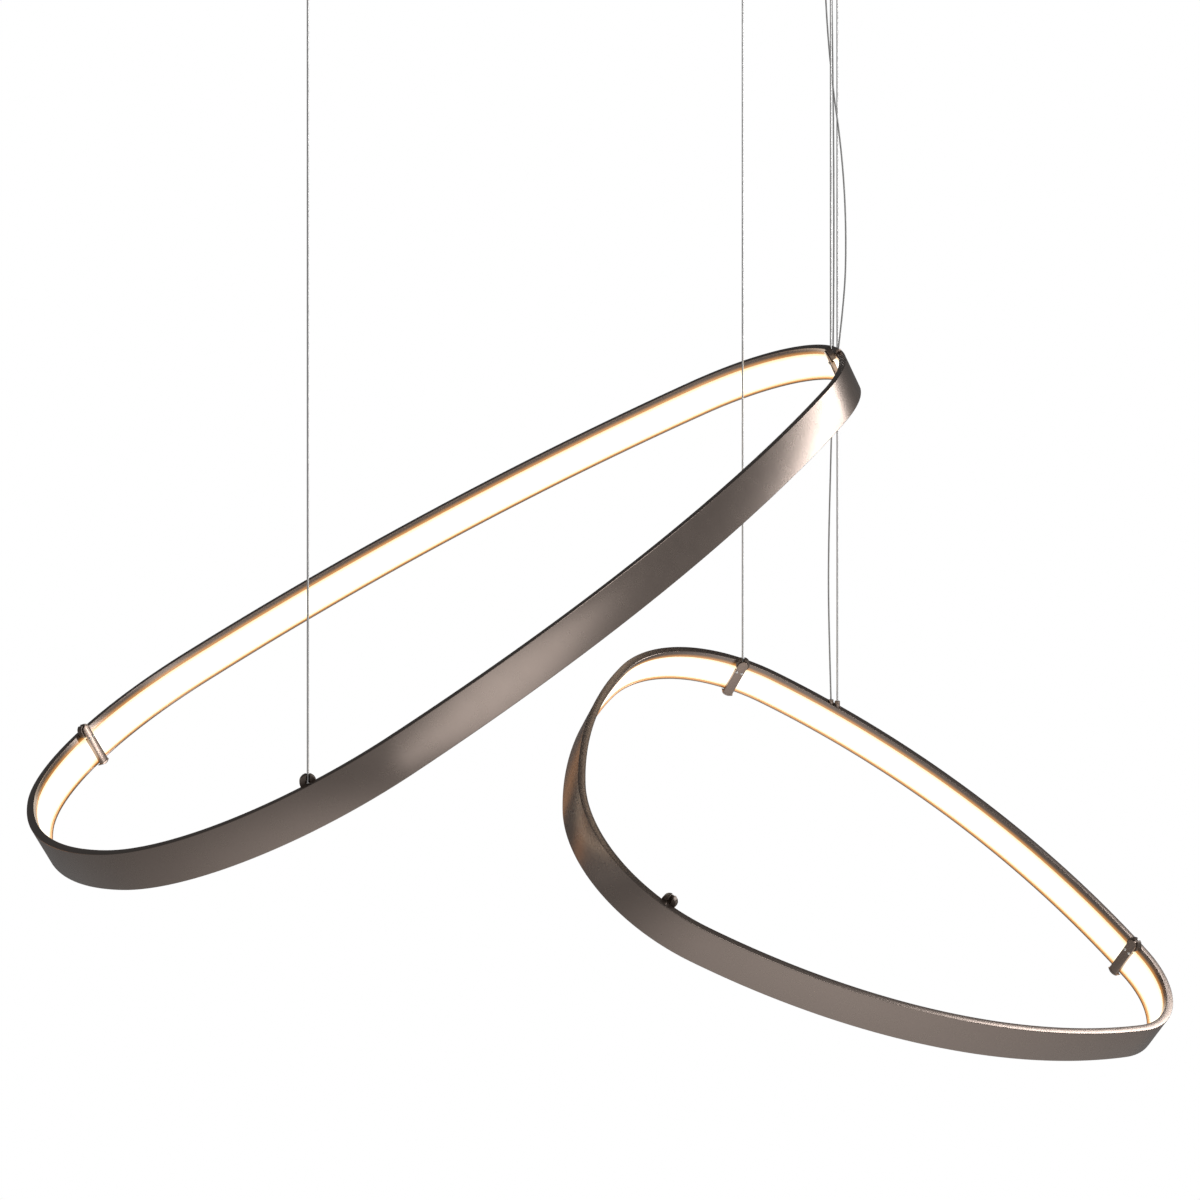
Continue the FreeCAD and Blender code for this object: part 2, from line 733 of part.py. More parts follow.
def make_gland(label, x, y):
    """The stepped strain relief that a power cord hangs from."""
    nose = size("gland_nose_radius")
    turned(label, offset_placement(x, y, -canopy_height.value), [
        (0, 0), (gland_radius, 0), (gland_radius, -size("gland_collar")),
        (nose, -size("gland_collar")), (nose, -size("gland_length")),
        (0, -size("gland_length"))])


# ----------------------------------------------------------------------------------------
# Assembly
# ----------------------------------------------------------------------------------------
large = Loop("large")
small = Loop("small")
CLIPS = {
    "large": ("front", "back", "end"),
    "small": ("left", "right", "front"),
}
frames = {}
for loop in (large, small):
    make_band(loop)
    make_strip(loop)
    for place in CLIPS[loop.name]:
        frame = loop.frame_at(size(f"{loop.name}_{place}_clip_angle").value)
        frames[loop.name, place] = frame
        make_clip(f"{loop.name}_{place}_clip", frame)

HUNG = [("large", "front"), ("large", "end"), ("small", "left")]
for (name, place), frame in frames.items():
    lean = slot_lean(frame) if (name, place) in HUNG else 0.0
    make_swivel(f"{name}_{place}_swivel", frame, lean)

inlet_bore = (size("cord_radius") + size("inlet_clearance")).value
anchor_bore = (cable_radius + size("anchor_clearance")).value
(_, large_inlet), (_, small_inlet) = [
    make_barrel(f"{loop.name}_power_inlet", loop, size(f"{loop.name}_inlet_angle"), "inlet",
                inlet_bore)
    for loop in (large, small)]
small_anchor, _ = make_barrel("small_cable_anchor", small, size("small_anchor_angle"), "anchor",
                           anchor_bore, (stop_radius + size("stop_clearance")).value)

front_stop = stop_point(frames["large", "front"])
end_stop = stop_point(frames["large", "end"])
left_stop = stop_point(frames["small", "left"])
make_stop("large_front_stop", front_stop)
make_stop("large_end_stop", end_stop)
make_stop("small_left_stop", left_stop)
make_stop("small_back_stop", small_anchor)

canopy_cable_top = -(canopy_height.value + gripper_length.value)
cup_cable_top = -(cup_height.value + gripper_length.value)
make_cable("large_front_cable", front_stop, cup_cable_top)
make_cable("large_end_cable", end_stop, canopy_cable_top)
make_cable("small_left_cable", left_stop, cup_cable_top)
make_cable("small_back_cable", small_anchor, canopy_cable_top)

large_exit = (size("large_cord_exit_x"), size("large_cord_exit_y"))
small_exit = (size("small_cord_exit_x"), size("small_cord_exit_y"))
make_canopy([(end_stop.x, end_stop.y), (small_anchor.x, small_anchor.y)])
make_electrics()
make_gripper("large_end", end_stop.x, end_stop.y, -canopy_height.value)
make_gripper("small_back", small_anchor.x, small_anchor.y, -canopy_height.value)
make_cup("large_front", front_stop.x, front_stop.y)
make_cup("small_left", left_stop.x, left_stop.y)
make_gland("large_cord_gland", large_exit[0].value, large_exit[1].value)
make_gland("small_cord_gland", small_exit[0].value, small_exit[1].value)

# The power cords hang in long bows. Each route is a few points from gland to inlet.
cord_top = -(canopy_height.value + size("gland_length").value)
large_route = [
    Vector(large_exit[0].value, large_exit[1].value, cord_top),
    Vector(-10.4, -14, -70), Vector(-7.2, -17.5, -124), Vector(-2.4, -22, -176),
    Vector(4.2, -27, -226), Vector(8.6, -32, -282), Vector(9.8, -36.5, -340),
    Vector(7.8, -41, -396), large_inlet]
small_route = [
    Vector(small_exit[0].value, small_exit[1].value, cord_top),
    Vector(-0.3, 19.8, -78), Vector(0.8, 23.4, -132), Vector(1.9, 27.7, -186),
    Vector(2.7, 32.6, -244), Vector(3.3, 37, -302), Vector(3.5, 40.4, -360),
    Vector(3.3, 42.8, -418), Vector(2.6, 43.8, -474), Vector(1.4, 43.6, -532),
    Vector(-0.2, 42.4, -588), Vector(-1.8, 40.5, -644), Vector(-2.7, 38, -700),
    Vector(-2.1, 35.4, -754), small_inlet]
make_cord("large_power_cord", large_route, size("cord_radius").value)
make_cord("small_power_cord", small_route, size("cord_radius").value)

doc.recompute()
for item in doc.Objects:
    if "Invalid" in item.State or "Error" in item.State:
        raise RuntimeError(f"{item.Label} failed: {item.State}")
os.makedirs("parts", exist_ok=True)
nodes = [item for item in doc.Objects
         if item.isDerivedFrom("PartDesign::Body")
         or (item.isDerivedFrom("Part::Feature") and item.getParentGeoFeatureGroup() is None)]
for node in nodes:
    if node.Shape.isNull() or not node.Shape.isValid():
        raise RuntimeError(f"{node.Label} has no sound shape")
    node.Shape.exportStep(f"parts/{node.Label}.step")
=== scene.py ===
import math

import bmesh
import bpy
from bpy.props import FloatProperty, FloatVectorProperty, PointerProperty
from mathutils import Euler, Matrix, Vector


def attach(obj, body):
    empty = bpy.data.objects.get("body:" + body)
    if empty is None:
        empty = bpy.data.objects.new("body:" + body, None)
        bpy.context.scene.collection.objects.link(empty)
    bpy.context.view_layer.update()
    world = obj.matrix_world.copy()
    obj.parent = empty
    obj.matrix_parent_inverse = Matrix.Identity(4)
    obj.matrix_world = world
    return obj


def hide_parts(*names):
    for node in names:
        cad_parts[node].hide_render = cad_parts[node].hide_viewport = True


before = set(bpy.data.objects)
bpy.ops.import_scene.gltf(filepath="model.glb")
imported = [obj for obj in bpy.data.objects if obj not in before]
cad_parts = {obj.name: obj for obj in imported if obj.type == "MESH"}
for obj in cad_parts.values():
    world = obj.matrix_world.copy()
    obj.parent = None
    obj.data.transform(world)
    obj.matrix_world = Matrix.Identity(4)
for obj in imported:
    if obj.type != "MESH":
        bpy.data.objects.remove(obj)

bl_info = {
    "name": "Two-loop pendant light",
    "version": (1, 0, 0),
    "blender": (4, 5, 0),
    "location": "View3D > Sidebar > Pendant",
    "description": "Dresses two tilted egg-shaped light loops and the fittings they hang from",
    "category": "Object",
}

CLIPS = {
    "large": ("front", "back", "end"),
    "small": ("left", "right", "front"),
}
HUNG = (("large", "front"), ("large", "end"), ("small", "left"))
NOISE_MIDDLE = (0.3, 0.7)
CRISP_ANGLE = 35
SMALL_SIDES = 24


# ----------------------------------------------------------------------------------------
# Settings
# ----------------------------------------------------------------------------------------
def length(name, description, default):
    """A length in metres that the panel shows."""
    return FloatProperty(name=name, description=description, default=default, min=0.0, precision=4,
                         unit="LENGTH")


def angle(name, description, default):
    """An angle, given here in degrees."""
    return FloatProperty(name=name, description=description, default=math.radians(default),
                         subtype="ANGLE")


def colour(name, description, default):
    """A colour in linear light."""
    return FloatVectorProperty(name=name, description=description, default=default, size=3, min=0.0,
                               max=1.0, subtype="COLOR")


def place(name, description, default):
    """A point in the object's frame, in metres."""
    return FloatVectorProperty(name=name, description=description, default=default, size=3,
                               subtype="TRANSLATION", unit="LENGTH", precision=4)


class PENDANT_PG_large(bpy.types.PropertyGroup):
    """Outline and attitude of the large loop."""

    length: length("Length", "Long axis of the egg outline", 0.985)
    width: length("Width", "Widest place across the outline", 0.666)
    end_radius: length("End radius", "Radius of the blunt end", 0.484)
    shoulder_radius: length("Shoulder radius", "Radius between end and side", 0.264)
    tip_radius: length("Tip radius", "Radius of the narrow end", 0.186)
    centre: place("Centre", "Middle of the long axis", (-0.3959, -0.1289, -0.7141))
    turn: angle("Turn", "Rotation about the vertical", 21.72)
    pitch: angle("Pitch", "Rotation about the level cross axis", -31.29)
    roll: angle("Roll", "Rotation about the long axis", 6.32)
    inlet_angle: angle("Inlet angle", "Where the power cord enters", -21.5)
    front_clip: angle("Front clip", "Outward direction at the front clip", -108.75)
    back_clip: angle("Back clip", "Outward direction at the back clip", 126.0)
    end_clip: angle("End clip", "Outward direction at the clip near the tip", -18.0)


class PENDANT_PG_small(bpy.types.PropertyGroup):
    """Outline and attitude of the small loop."""

    length: length("Length", "Long axis of the egg outline", 0.668)
    width: length("Width", "Widest place across the outline", 0.486)
    end_radius: length("End radius", "Radius of the blunt end", 0.480)
    shoulder_radius: length("Shoulder radius", "Radius between end and side", 0.169)
    tip_radius: length("Tip radius", "Radius of the narrow end", 0.091)
    centre: place("Centre", "Middle of the long axis", (0.0269, -0.1537, -0.9996))
    turn: angle("Turn", "Rotation about the vertical", 2.73)
    pitch: angle("Pitch", "Rotation about the level cross axis", 26.27)
    roll: angle("Roll", "Rotation about the long axis", 32.04)
    inlet_angle: angle("Inlet angle", "Where the power cord enters", 84.55)
    anchor_angle: angle("Anchor angle", "Where the back cable holds the band", 83.95)
    left_clip: angle("Left clip", "Outward direction at the left clip", 105.0)
    right_clip: angle("Right clip", "Outward direction at the right clip", 49.25)
    front_clip: angle("Front clip", "Outward direction at the front clip", -106.0)


class PENDANT_PG_band(bpy.types.PropertyGroup):
    """Section of both bands and their light strips."""

    height: length("Height", "Height of the band", 0.040)
    depth: length("Depth", "From the outer face to the face of the lips", 0.008)
    wall: length("Wall", "Thickness of the outer wall and the roof", 0.0016)
    floor: length("Floor", "Thickness of the floor", 0.0024)
    lip_height: length("Lip height", "How far the long lip hangs below the top", 0.0078)
    lip_wall: length("Lip wall", "Thickness of the long lip", 0.0016)
    edge_round: length("Edge round", "Rounding of the outer edges", 0.0007)
    diffuser_wall: length("Diffuser wall", "Thickness of the diffuser", 0.0015)
    slack: length("Slack", "Gap round the diffuser", 0.0001)
    facet: length("Facet", "Longest step round the outline", 0.005)


class PENDANT_PG_clip(bpy.types.PropertyGroup):
    """Cable clips and their swivel discs."""

    width: length("Width", "Width of the bar", 0.0105)
    bar_depth: length("Bar depth", "Thickness of the bar and its cheek", 0.0045)
    cheek: length("Cheek", "Thickness of the cheek beside the disc", 0.0015)
    gap: length("Gap", "Play beside the disc", 0.00025)
    lug_width: length("Lug width", "Width of the lug under the band", 0.013)
    lug_drop: length("Lug drop", "How far the lug stands below the band", 0.0025)
    lug_reach: length("Lug reach", "Where the lug starts, from the outer face", 0.009)
    disc_radius: length("Disc radius", "Radius of the swivel disc", 0.0075)
    disc_thickness: length("Disc thickness", "Thickness of the swivel disc", 0.006)
    disc_gap: length("Disc gap", "Gap between the disc and the lip", 0.0006)
    slot_width: length("Slot width", "Width of the disc's slot", 0.003)
    nest_radius: length("Nest radius", "Radius of the disc's seat", 0.00235)
    pin_clearance: length("Pin clearance", "Play round the pivot pin", 0.00005)
    pin_engagement: length("Pin engagement", "How far the pin reaches into the disc", 0.0011)
    stud_radius: length("Stud radius", "Radius of the bright studs on the bar", 0.0017)
    stud_apart: length("Stud spacing", "From one bright stud to the other", 0.0056)
    screw_radius: length("Screw radius", "Radius of the lug's grub screw", 0.0014)


class PENDANT_PG_lines(bpy.types.PropertyGroup):
    """Cables, power cords and what they end in."""

    cable_radius: length("Cable radius", "Radius of the steel cable", 0.001)
    cord_radius: length("Cord radius", "Radius of the power cord", 0.0009)
    stop_radius: length("Stop radius", "Radius of the ferrule on a cable", 0.0016)
    stop_length: length("Stop length", "Length of the ferrule", 0.0032)
    inlet_radius: length("Inlet radius", "Radius of a power inlet", 0.0028)
    inlet_bore: length("Inlet bore", "Radius of its bore", 0.0020)
    inlet_rise: length("Inlet rise", "Height of its middle over the roof", 0.0012)
    inlet_crown: length("Inlet crown", "From its middle to its top", 0.0024)
    anchor_radius: length("Anchor radius", "Radius of the cable anchor", 0.0029)
    anchor_bore: length("Anchor bore", "Radius of its bore", 0.00145)
    anchor_rise: length("Anchor rise", "Height of its middle over the roof", 0.0026)
    anchor_crown: length("Anchor crown", "From its middle to its top", 0.0034)


class PENDANT_PG_ceiling(bpy.types.PropertyGroup):
    """Canopy, cups, grippers and glands."""

    canopy_radius: length("Canopy radius", "Radius of the canopy", 0.070)
    canopy_height: length("Canopy height", "Height of the canopy", 0.030)
    wall: length("Wall", "Thickness of the canopy's cover", 0.0015)
    edge_round: length("Edge round", "Rounding of the covers' lower edges", 0.0012)
    ceiling_gap: length("Ceiling gap", "Gap between the covers and the ceiling", 0.0003)
    cup_radius: length("Cup radius", "Radius of a single cup", 0.012)
    cup_height: length("Cup height", "Height of a single cup", 0.016)
    gripper_radius: length("Gripper radius", "Radius of a cable gripper", 0.004)
    gripper_length: length("Gripper length", "Length of a cable gripper", 0.018)
    nose_radius: length("Nose radius", "Radius of the gripper's lower end", 0.0026)
    nose_length: length("Nose length", "Length of the gripper's lower end", 0.004)
    stem_radius: length("Stem radius", "Radius of the gripper's stem", 0.003)
    stem_length: length("Stem length", "Length of the gripper's stem", 0.006)
    gland_radius: length("Gland radius", "Radius of a cord's gland", 0.0032)
    gland_collar: length("Gland collar", "Height of the gland's wide part", 0.002)
    gland_nose: length("Gland nose", "Radius of the gland's lower end", 0.0016)
    gland_length: length("Gland length", "How far a gland hangs below the canopy", 0.007)


class PENDANT_PG_finish(bpy.types.PropertyGroup):
    """Colours of the object."""

    bronze: colour("Bronze", "Satin finish of the bands", (0.300, 0.243, 0.212))
    clip_bronze: colour("Clip bronze", "Finish of the clips", (0.340, 0.262, 0.220))
    # Painted shade: the swivel discs' dark colour stands in for the shading that darkens them.
    swivel: colour("Swivel", "Dark finish of the swivel discs", (0.150, 0.118, 0.100))
    steel: colour("Steel", "Cables and screws", (0.76, 0.75, 0.74))
    sheath: colour("Sheath", "Sheath of the power cords", (0.40, 0.395, 0.39))
    glow: colour("Glow", "Middle of the lit strip", (1.0, 0.93, 0.80))
    cream: colour("Cream", "Beside the edges of the lit strip", (1.0, 0.90, 0.62))
    fringe: colour("Fringe", "Edges of the lit strip", (1.0, 0.58, 0.24))
    # Painted glow: this colour and the strength below make the band's lips shine, standing in for
    # light spilled from the strip.
    painted_spill: colour("Spill", "Light on the lips beside the strip", (1.0, 0.40, 0.06))
    glow_strength: FloatProperty(name="Glow strength", description="Brightness of the lit strip",
                                 default=1.6, min=0.0)
    edge_strength: FloatProperty(name="Edge strength", description="Brightness at its edges",
                                 default=0.85, min=0.0)
    painted_spill_strength: FloatProperty(name="Spill strength", description="Brightness of the lit lips",
                                  default=0.55, min=0.0)


class PENDANT_PG_studio(bpy.types.PropertyGroup):
    """Camera and light."""

    eye: place("Eye", "Where the camera stands", (-0.253, -2.812, -0.720))
    focal: FloatProperty(name="Focal length", description="Focal length for a 36 mm wide sensor",
                         default=78.0, min=1.0, unit="CAMERA")
    surround: FloatProperty(name="Surround", description="Brightness of the studio's walls",
                            default=1.0, min=0.0)
    key: FloatProperty(name="Key", description="Power of the side softbox", default=13.0, min=0.0,
                       unit="POWER")
    fill: FloatProperty(name="Fill", description="Power of the front softbox", default=3.9, min=0.0,
                        unit="POWER")
    top: FloatProperty(name="Top", description="Power of the high softbox", default=9.0, min=0.0,
                       unit="POWER")
    kicker: FloatProperty(name="Kicker", description="Power of each warm kicker", default=0.22,
                          min=0.0, unit="POWER")
    kicker_tone: colour("Kicker tone", "Colour of the warm kickers", (1.0, 0.45, 0.14))
    floor_radius: length("Floor radius", "Radius of the pale floor", 4.8)
    floor_level: FloatProperty(name="Floor level", description="Height of the floor",
                               default=-2.3, unit="LENGTH")
    floor_forward: FloatProperty(name="Floor forward", description="Where its middle lies along Y",
                                 default=-1.0, unit="LENGTH")


GROUPS = {
    "pendant_large": PENDANT_PG_large,
    "pendant_small": PENDANT_PG_small,
    "pendant_band": PENDANT_PG_band,
    "pendant_clip": PENDANT_PG_clip,
    "pendant_lines": PENDANT_PG_lines,
    "pendant_ceiling": PENDANT_PG_ceiling,
    "pendant_finish": PENDANT_PG_finish,
    "pendant_studio": PENDANT_PG_studio,
}


# ----------------------------------------------------------------------------------------
# The egg outline
# ----------------------------------------------------------------------------------------
class Outline:
    """Six tangent arcs: round tip, two long sides, two shoulders and a blunt end."""

    def __init__(self, loop):
        half = loop.width / 2
        end_x = loop.end_radius - loop.length / 2
        tip_x = loop.length / 2 - loop.tip_radius
        spread = loop.end_radius - loop.shoulder_radius
        end_turn = math.acos((half - loop.shoulder_radius) / spread)
        widest = end_x - spread * math.sin(end_turn)
        reach = tip_x - widest
        side_radius = (half ** 2 + reach ** 2 - loop.tip_radius ** 2) / (2 * (half - loop.tip_radius))
        tip_half = math.pi / 2 - math.atan2(reach, side_radius - half)
        end_half = math.pi / 2 + end_turn
        right = math.pi / 2
        full = 2 * math.pi
        shoulder_y = half - loop.shoulder_radius
        side_y = half - side_radius
        self.arcs = [
            (Vector((tip_x, 0, 0)), loop.tip_radius, -tip_half, tip_half),
            (Vector((widest, side_y, 0)), side_radius, tip_half, right),
            (Vector((widest, shoulder_y, 0)), loop.shoulder_radius, right, end_half),
            (Vector((end_x, 0, 0)), loop.end_radius, end_half, full - end_half),
            (Vector((widest, -shoulder_y, 0)), loop.shoulder_radius, full - end_half, full - right),
            (Vector((widest, -side_y, 0)), side_radius, full - right, full - tip_half),
        ]
        attitude = Euler((loop.roll, loop.pitch, loop.turn), "XYZ").to_matrix().to_4x4()
        self.matrix = Matrix.Translation(loop.centre) @ attitude

    def stations(self, step):
        """Points round the outer face, each with its inward direction and distance travelled."""
        found = []
        travelled = 0.0
        for centre, radius, start, stop in self.arcs:
            count = max(2, math.ceil(radius * (stop - start) / step))
            for index in range(count):
                turn = start + (stop - start) * index / count
                out = Vector((math.cos(turn), math.sin(turn), 0))
                found.append((centre + out * radius, -out, travelled + radius * (turn - start)))
            travelled += radius * (stop - start)
        return found, travelled

    def frame_at(self, turn):
        """Where the outer face looks towards turn: X along the band, Y inwards, Z across it."""
        for centre, radius, start, stop in self.arcs:
            for way in (turn, turn + 2 * math.pi):
                if start <= way <= stop:
                    out = Vector((math.cos(way), math.sin(way), 0))
                    spot = centre + out * radius
        seat = Matrix.Translation(spot) @ Matrix.Rotation(turn + math.pi / 2, 4, "Z")
        return self.matrix @ seat


def settings(group):
    """The scene's settings of one group, such as one loop's or the bands'."""
    return getattr(bpy.context.scene, f"pendant_{group}")


def clip_frame(name, spot):
    """The frame of one clip, on the outer face of its band."""
    loop = settings(name)
    return Outline(loop).frame_at(getattr(loop, f"{spot}_clip"))


# ----------------------------------------------------------------------------------------
# Mesh helpers
# ----------------------------------------------------------------------------------------
def rounded(corners, steps=4):
    """Corner points as (x, y, radius) turned into a closed outline with round corners."""
    outline = []
    count = len(corners)
    for index, (x, y, radius) in enumerate(corners):
        spot = Vector((x, y))
        if radius <= 0:
            outline.append(spot)
            continue
        before = (Vector(corners[index - 1][:2]) - spot).normalized()
        after = (Vector(corners[(index + 1) % count][:2]) - spot).normalized()
        half = before.angle(after) / 2
        reach = radius / math.tan(half)
        middle = spot + (before + after).normalized() * (radius / math.sin(half))
        first = spot + before * reach - middle
        last = spot + after * reach - middle
        sweep_angle = first.angle_signed(last)
        for step in range(steps + 1):
            turned = first.copy()
            turned.rotate(Matrix.Rotation(-sweep_angle * step / steps, 2))
            outline.append(middle + turned)
    return outline


def add_mesh(name, vertices, faces, uvs=None):
    """A smooth-shaded mesh object whose sharp edges stay crisp."""
    mesh = bpy.data.meshes.new(name)
    mesh.from_pydata([tuple(v) for v in vertices], [], faces)
    if uvs:
        layer = mesh.uv_layers.new(name="UVMap")
        for polygon in mesh.polygons:
            for loop, uv in zip(polygon.loop_indices, uvs[polygon.index]):
                layer.data[loop].uv = uv
    work = bmesh.new()
    work.from_mesh(mesh)
    bmesh.ops.recalc_face_normals(work, faces=work.faces)
    work.to_mesh(mesh)
    work.free()
    mesh.polygons.foreach_set("use_smooth", [True] * len(mesh.polygons))
    mesh.set_sharp_from_angle(angle=math.radians(CRISP_ANGLE))
    piece = bpy.data.objects.new(name, mesh)
    bpy.context.scene.collection.objects.link(piece)
    return piece


def heights(profile):
    """The height of each point of a section, ending back at its first point."""
    return [height for _, height in profile] + [profile[0][1]]


def girth(profile):
    """The distance travelled round a section up to each point, ending back at its first point."""
    found = [0.0]
    for here, ahead in zip(profile, list(profile[1:]) + [profile[0]]):
        found.append(found[-1] + math.dist(here, ahead))
    return found


def swept(name, outline, profile, step, across):
    """A closed section of (inset, height) points carried round a loop's outline."""
    stations, around = outline.stations(step)
    count = len(profile)
    vertices = []
    for spot, inward, _ in stations:
        for inset, height in profile:
            vertices.append(outline.matrix @ (spot + inward * inset + Vector((0, 0, height))))
    rows = len(stations)
    faces = []
    uvs = []
    for row in range(rows):
        ahead = (row + 1) % rows
        here_u = stations[row][2]
        next_u = stations[ahead][2] if ahead else around
        for index in range(count):
            other = (index + 1) % count
            faces.append((row * count + index, ahead * count + index, ahead * count + other,
                          row * count + other))
            here_v = across[index]
            next_v = across[index + 1]
            uvs.append(((here_u, here_v), (next_u, here_v), (next_u, next_v), (here_u, next_v)))
    return add_mesh(name, vertices, faces, uvs)


def turned(name, profile, matrix, segments=64):
    """A closed section of (radius, height) points turned about a frame's Z axis."""
    vertices = []
    count = len(profile)
    for segment in range(segments):
        turn = 2 * math.pi * segment / segments
        for radius, height in profile:
            spot = Vector((radius * math.cos(turn), radius * math.sin(turn), height))
            vertices.append(matrix @ spot)
    faces = []
    for segment in range(segments):
        ahead = (segment + 1) % segments
        for index in range(count):
            other = (index + 1) % count
            faces.append((segment * count + index, ahead * count + index, ahead * count + other,
                          segment * count + other))
    piece = add_mesh(name, vertices, faces)
    weld(piece)
    return piece


def weld(piece, distance=1e-7):
    """Merge points that lie on each other, such as those on an axis."""
    work = bmesh.new()
    work.from_mesh(piece.data)
    bmesh.ops.remove_doubles(work, verts=work.verts, dist=distance)
    bmesh.ops.dissolve_degenerate(work, edges=work.edges, dist=distance)
    bmesh.ops.recalc_face_normals(work, faces=work.faces)
    work.to_mesh(piece.data)
    work.free()


def plate(name, outline, near, far, matrix, edge=0.0002):
    """A flat (x, z) outline given thickness from near to far along Y, with soft edges."""
    count = len(outline)
    vertices = [matrix @ Vector((x, near, z)) for x, z in outline]
    vertices += [matrix @ Vector((x, far, z)) for x, z in outline]
    faces = [tuple(range(count)), tuple(range(2 * count - 1, count - 1, -1))]
    for index in range(count):
        other = (index + 1) % count
        faces.append((index, other, other + count, index + count))
    piece = add_mesh(name, vertices, faces)
    soften(piece, edge)
    return piece


def soften(piece, width):
    """A small rounding on the piece's crisp edges."""
    bevel = piece.modifiers.new("Soft edges", "BEVEL")
    bevel.width = width
    bevel.segments = 3
    bevel.limit_method = "ANGLE"
    bevel.angle_limit = math.radians(40)
    bevel.harden_normals = False


def joined(name, parts):
    """Several mesh objects made into one, with their modifiers applied."""
    graph = bpy.context.evaluated_depsgraph_get()
    work = bmesh.new()
    for part in parts:
        shape = bpy.data.meshes.new_from_object(part.evaluated_get(graph))
        work.from_mesh(shape)
        bpy.data.meshes.remove(shape)
    mesh = bpy.data.meshes.new(name)
    work.to_mesh(mesh)
    work.free()
    mesh.polygons.foreach_set("use_smooth", [True] * len(mesh.polygons))
    mesh.set_sharp_from_angle(angle=math.radians(CRISP_ANGLE))
    for part in parts:
        bpy.data.objects.remove(part)
    piece = bpy.data.objects.new(name, mesh)
    bpy.context.scene.collection.objects.link(piece)
    return piece


def dress(piece, material, body, node):
    """Give a piece its material, the body that it moves with and the solid that it stands for."""
    piece.data.materials.clear()
    piece.data.materials.append(material)
    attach(piece, body)
    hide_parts(node)
    return piece


# ----------------------------------------------------------------------------------------
# Materials
# ----------------------------------------------------------------------------------------
class Nodes:
    """A node tree being put together."""

    def __init__(self, tree):
        self.tree = tree

    def node(self, kind, **inputs):
        """A node with some of its inputs set."""
        made = self.tree.nodes.new(kind)
        for key, value in inputs.items():
            made.inputs[key].default_value = value
        return made

    def link(self, source, target):
        """Join two sockets."""
        self.tree.links.new(source, target)

    def math(self, operation, *terms):
        """Arithmetic on sockets and numbers."""
        made = self.node("ShaderNodeMath")
        made.operation = operation
        for socket, term in zip(made.inputs, terms):
            if isinstance(term, float):
                socket.default_value = term
            else:
                self.link(term, socket)
        return made.outputs["Value"]

    def remap(self, value, source, target=(0.0, 1.0), course="LINEAR"):
        """Carry a value from one range to another."""
        made = self.node("ShaderNodeMapRange")
        made.interpolation_type = course
        self.link(value, made.inputs["Value"])
        limits = ("From Min", "From Max", "To Min", "To Max")
        for key, number in zip(limits, (*source, *target)):
            made.inputs[key].default_value = number
        return made.outputs["Result"]

    def ramp(self, factor, stops):
        """Tones along a factor, each stop a position with a grey level or a colour."""
        made = self.node("ShaderNodeValToRGB")
        marks = made.color_ramp.elements
        while len(marks) < len(stops):
            marks.new(0.5)
        for mark, (position, value) in zip(marks, stops):
            mark.position = position
            mark.color = (value, value, value, 1) if isinstance(value, float) else (*value, 1)
        self.link(factor, made.inputs["Fac"])
        return made.outputs["Color"]

    def part_of(self, vector, axis):
        """One part of a vector."""
        apart = self.node("ShaderNodeSeparateXYZ")
        self.link(vector, apart.inputs["Vector"])
        return apart.outputs[axis]

    def coordinate(self, kind):
        """One of the texture coordinates."""
        return self.node("ShaderNodeTexCoord").outputs[kind]

    def seen_as(self, usual, direct):
        """A shader of its own for the eye, beside the one that lights the rest."""
        path = self.node("ShaderNodeLightPath")
        mix = self.node("ShaderNodeMixShader")
        self.link(path.outputs["Is Camera Ray"], mix.inputs["Fac"])
        self.link(usual, mix.inputs[1])
        self.link(direct, mix.inputs[2])
        return mix.outputs["Shader"]


class Shader(Nodes):
    """A material being put together from nodes."""

    def __init__(self, name):
        self.material = bpy.data.materials.new(name)
        self.material.use_nodes = True
        self.material.cycles.emission_sampling = "NONE"
        super().__init__(self.material.node_tree)
        self.base = self.tree.nodes["Principled BSDF"]

    def place(self, scale=(1, 1, 1)):
        """Object coordinates, stretched."""
        stretch = self.node("ShaderNodeMapping", Scale=scale)
        self.link(self.coordinate("Object"), stretch.inputs["Vector"])
        return stretch.outputs["Vector"]

    def noise(self, vector, scale, detail=4.0, roughness=0.55):
        """Noise over a coordinate."""
        made = self.node("ShaderNodeTexNoise", Scale=scale, Detail=detail, Roughness=roughness)
        self.link(vector, made.inputs["Vector"])
        return made.outputs["Fac"]

    def spread(self, factor, low, high):
        """Stretch the middle of a noise between two numbers."""
        return self.remap(factor, NOISE_MIDDLE, (low, high))

    def blend(self, factor, tone, change):
        """A base colour that wanders between a darker and a lighter tone."""
        made = self.node("ShaderNodeMix")
        made.data_type = "RGBA"
        self.link(factor, made.inputs["Factor"])
        made.inputs["A"].default_value = (*shade(tone, 1 - change), 1)
        made.inputs["B"].default_value = (*shade(tone, 1 + change), 1)
        self.link(made.outputs["Result"], self.base.inputs["Base Color"])

    def gloss(self, factor, roughness, change):
        """A roughness that wanders a little."""
        wander = self.spread(factor, roughness * (1 - change), roughness * (1 + change))
        self.link(wander, self.base.inputs["Roughness"])

    def bump(self, height, strength, distance):
        """Let a height roughen the surface."""
        made = self.node("ShaderNodeBump", Strength=strength, Distance=distance)
        self.link(height, made.inputs["Height"])
        self.link(made.outputs["Normal"], self.base.inputs["Normal"])

    def glow(self, tone, strength):
        """Let the surface shine; tone and strength are sockets, or tone is one colour."""
        if isinstance(tone, bpy.types.NodeSocket):
            self.link(tone, self.base.inputs["Emission Color"])
        else:
            self.base.inputs["Emission Color"].default_value = (*tone, 1)
        self.link(strength, self.base.inputs["Emission Strength"])


def shade(tone, factor):
    """A colour made lighter or darker."""
    return tuple(min(1.0, part * factor) for part in tone)


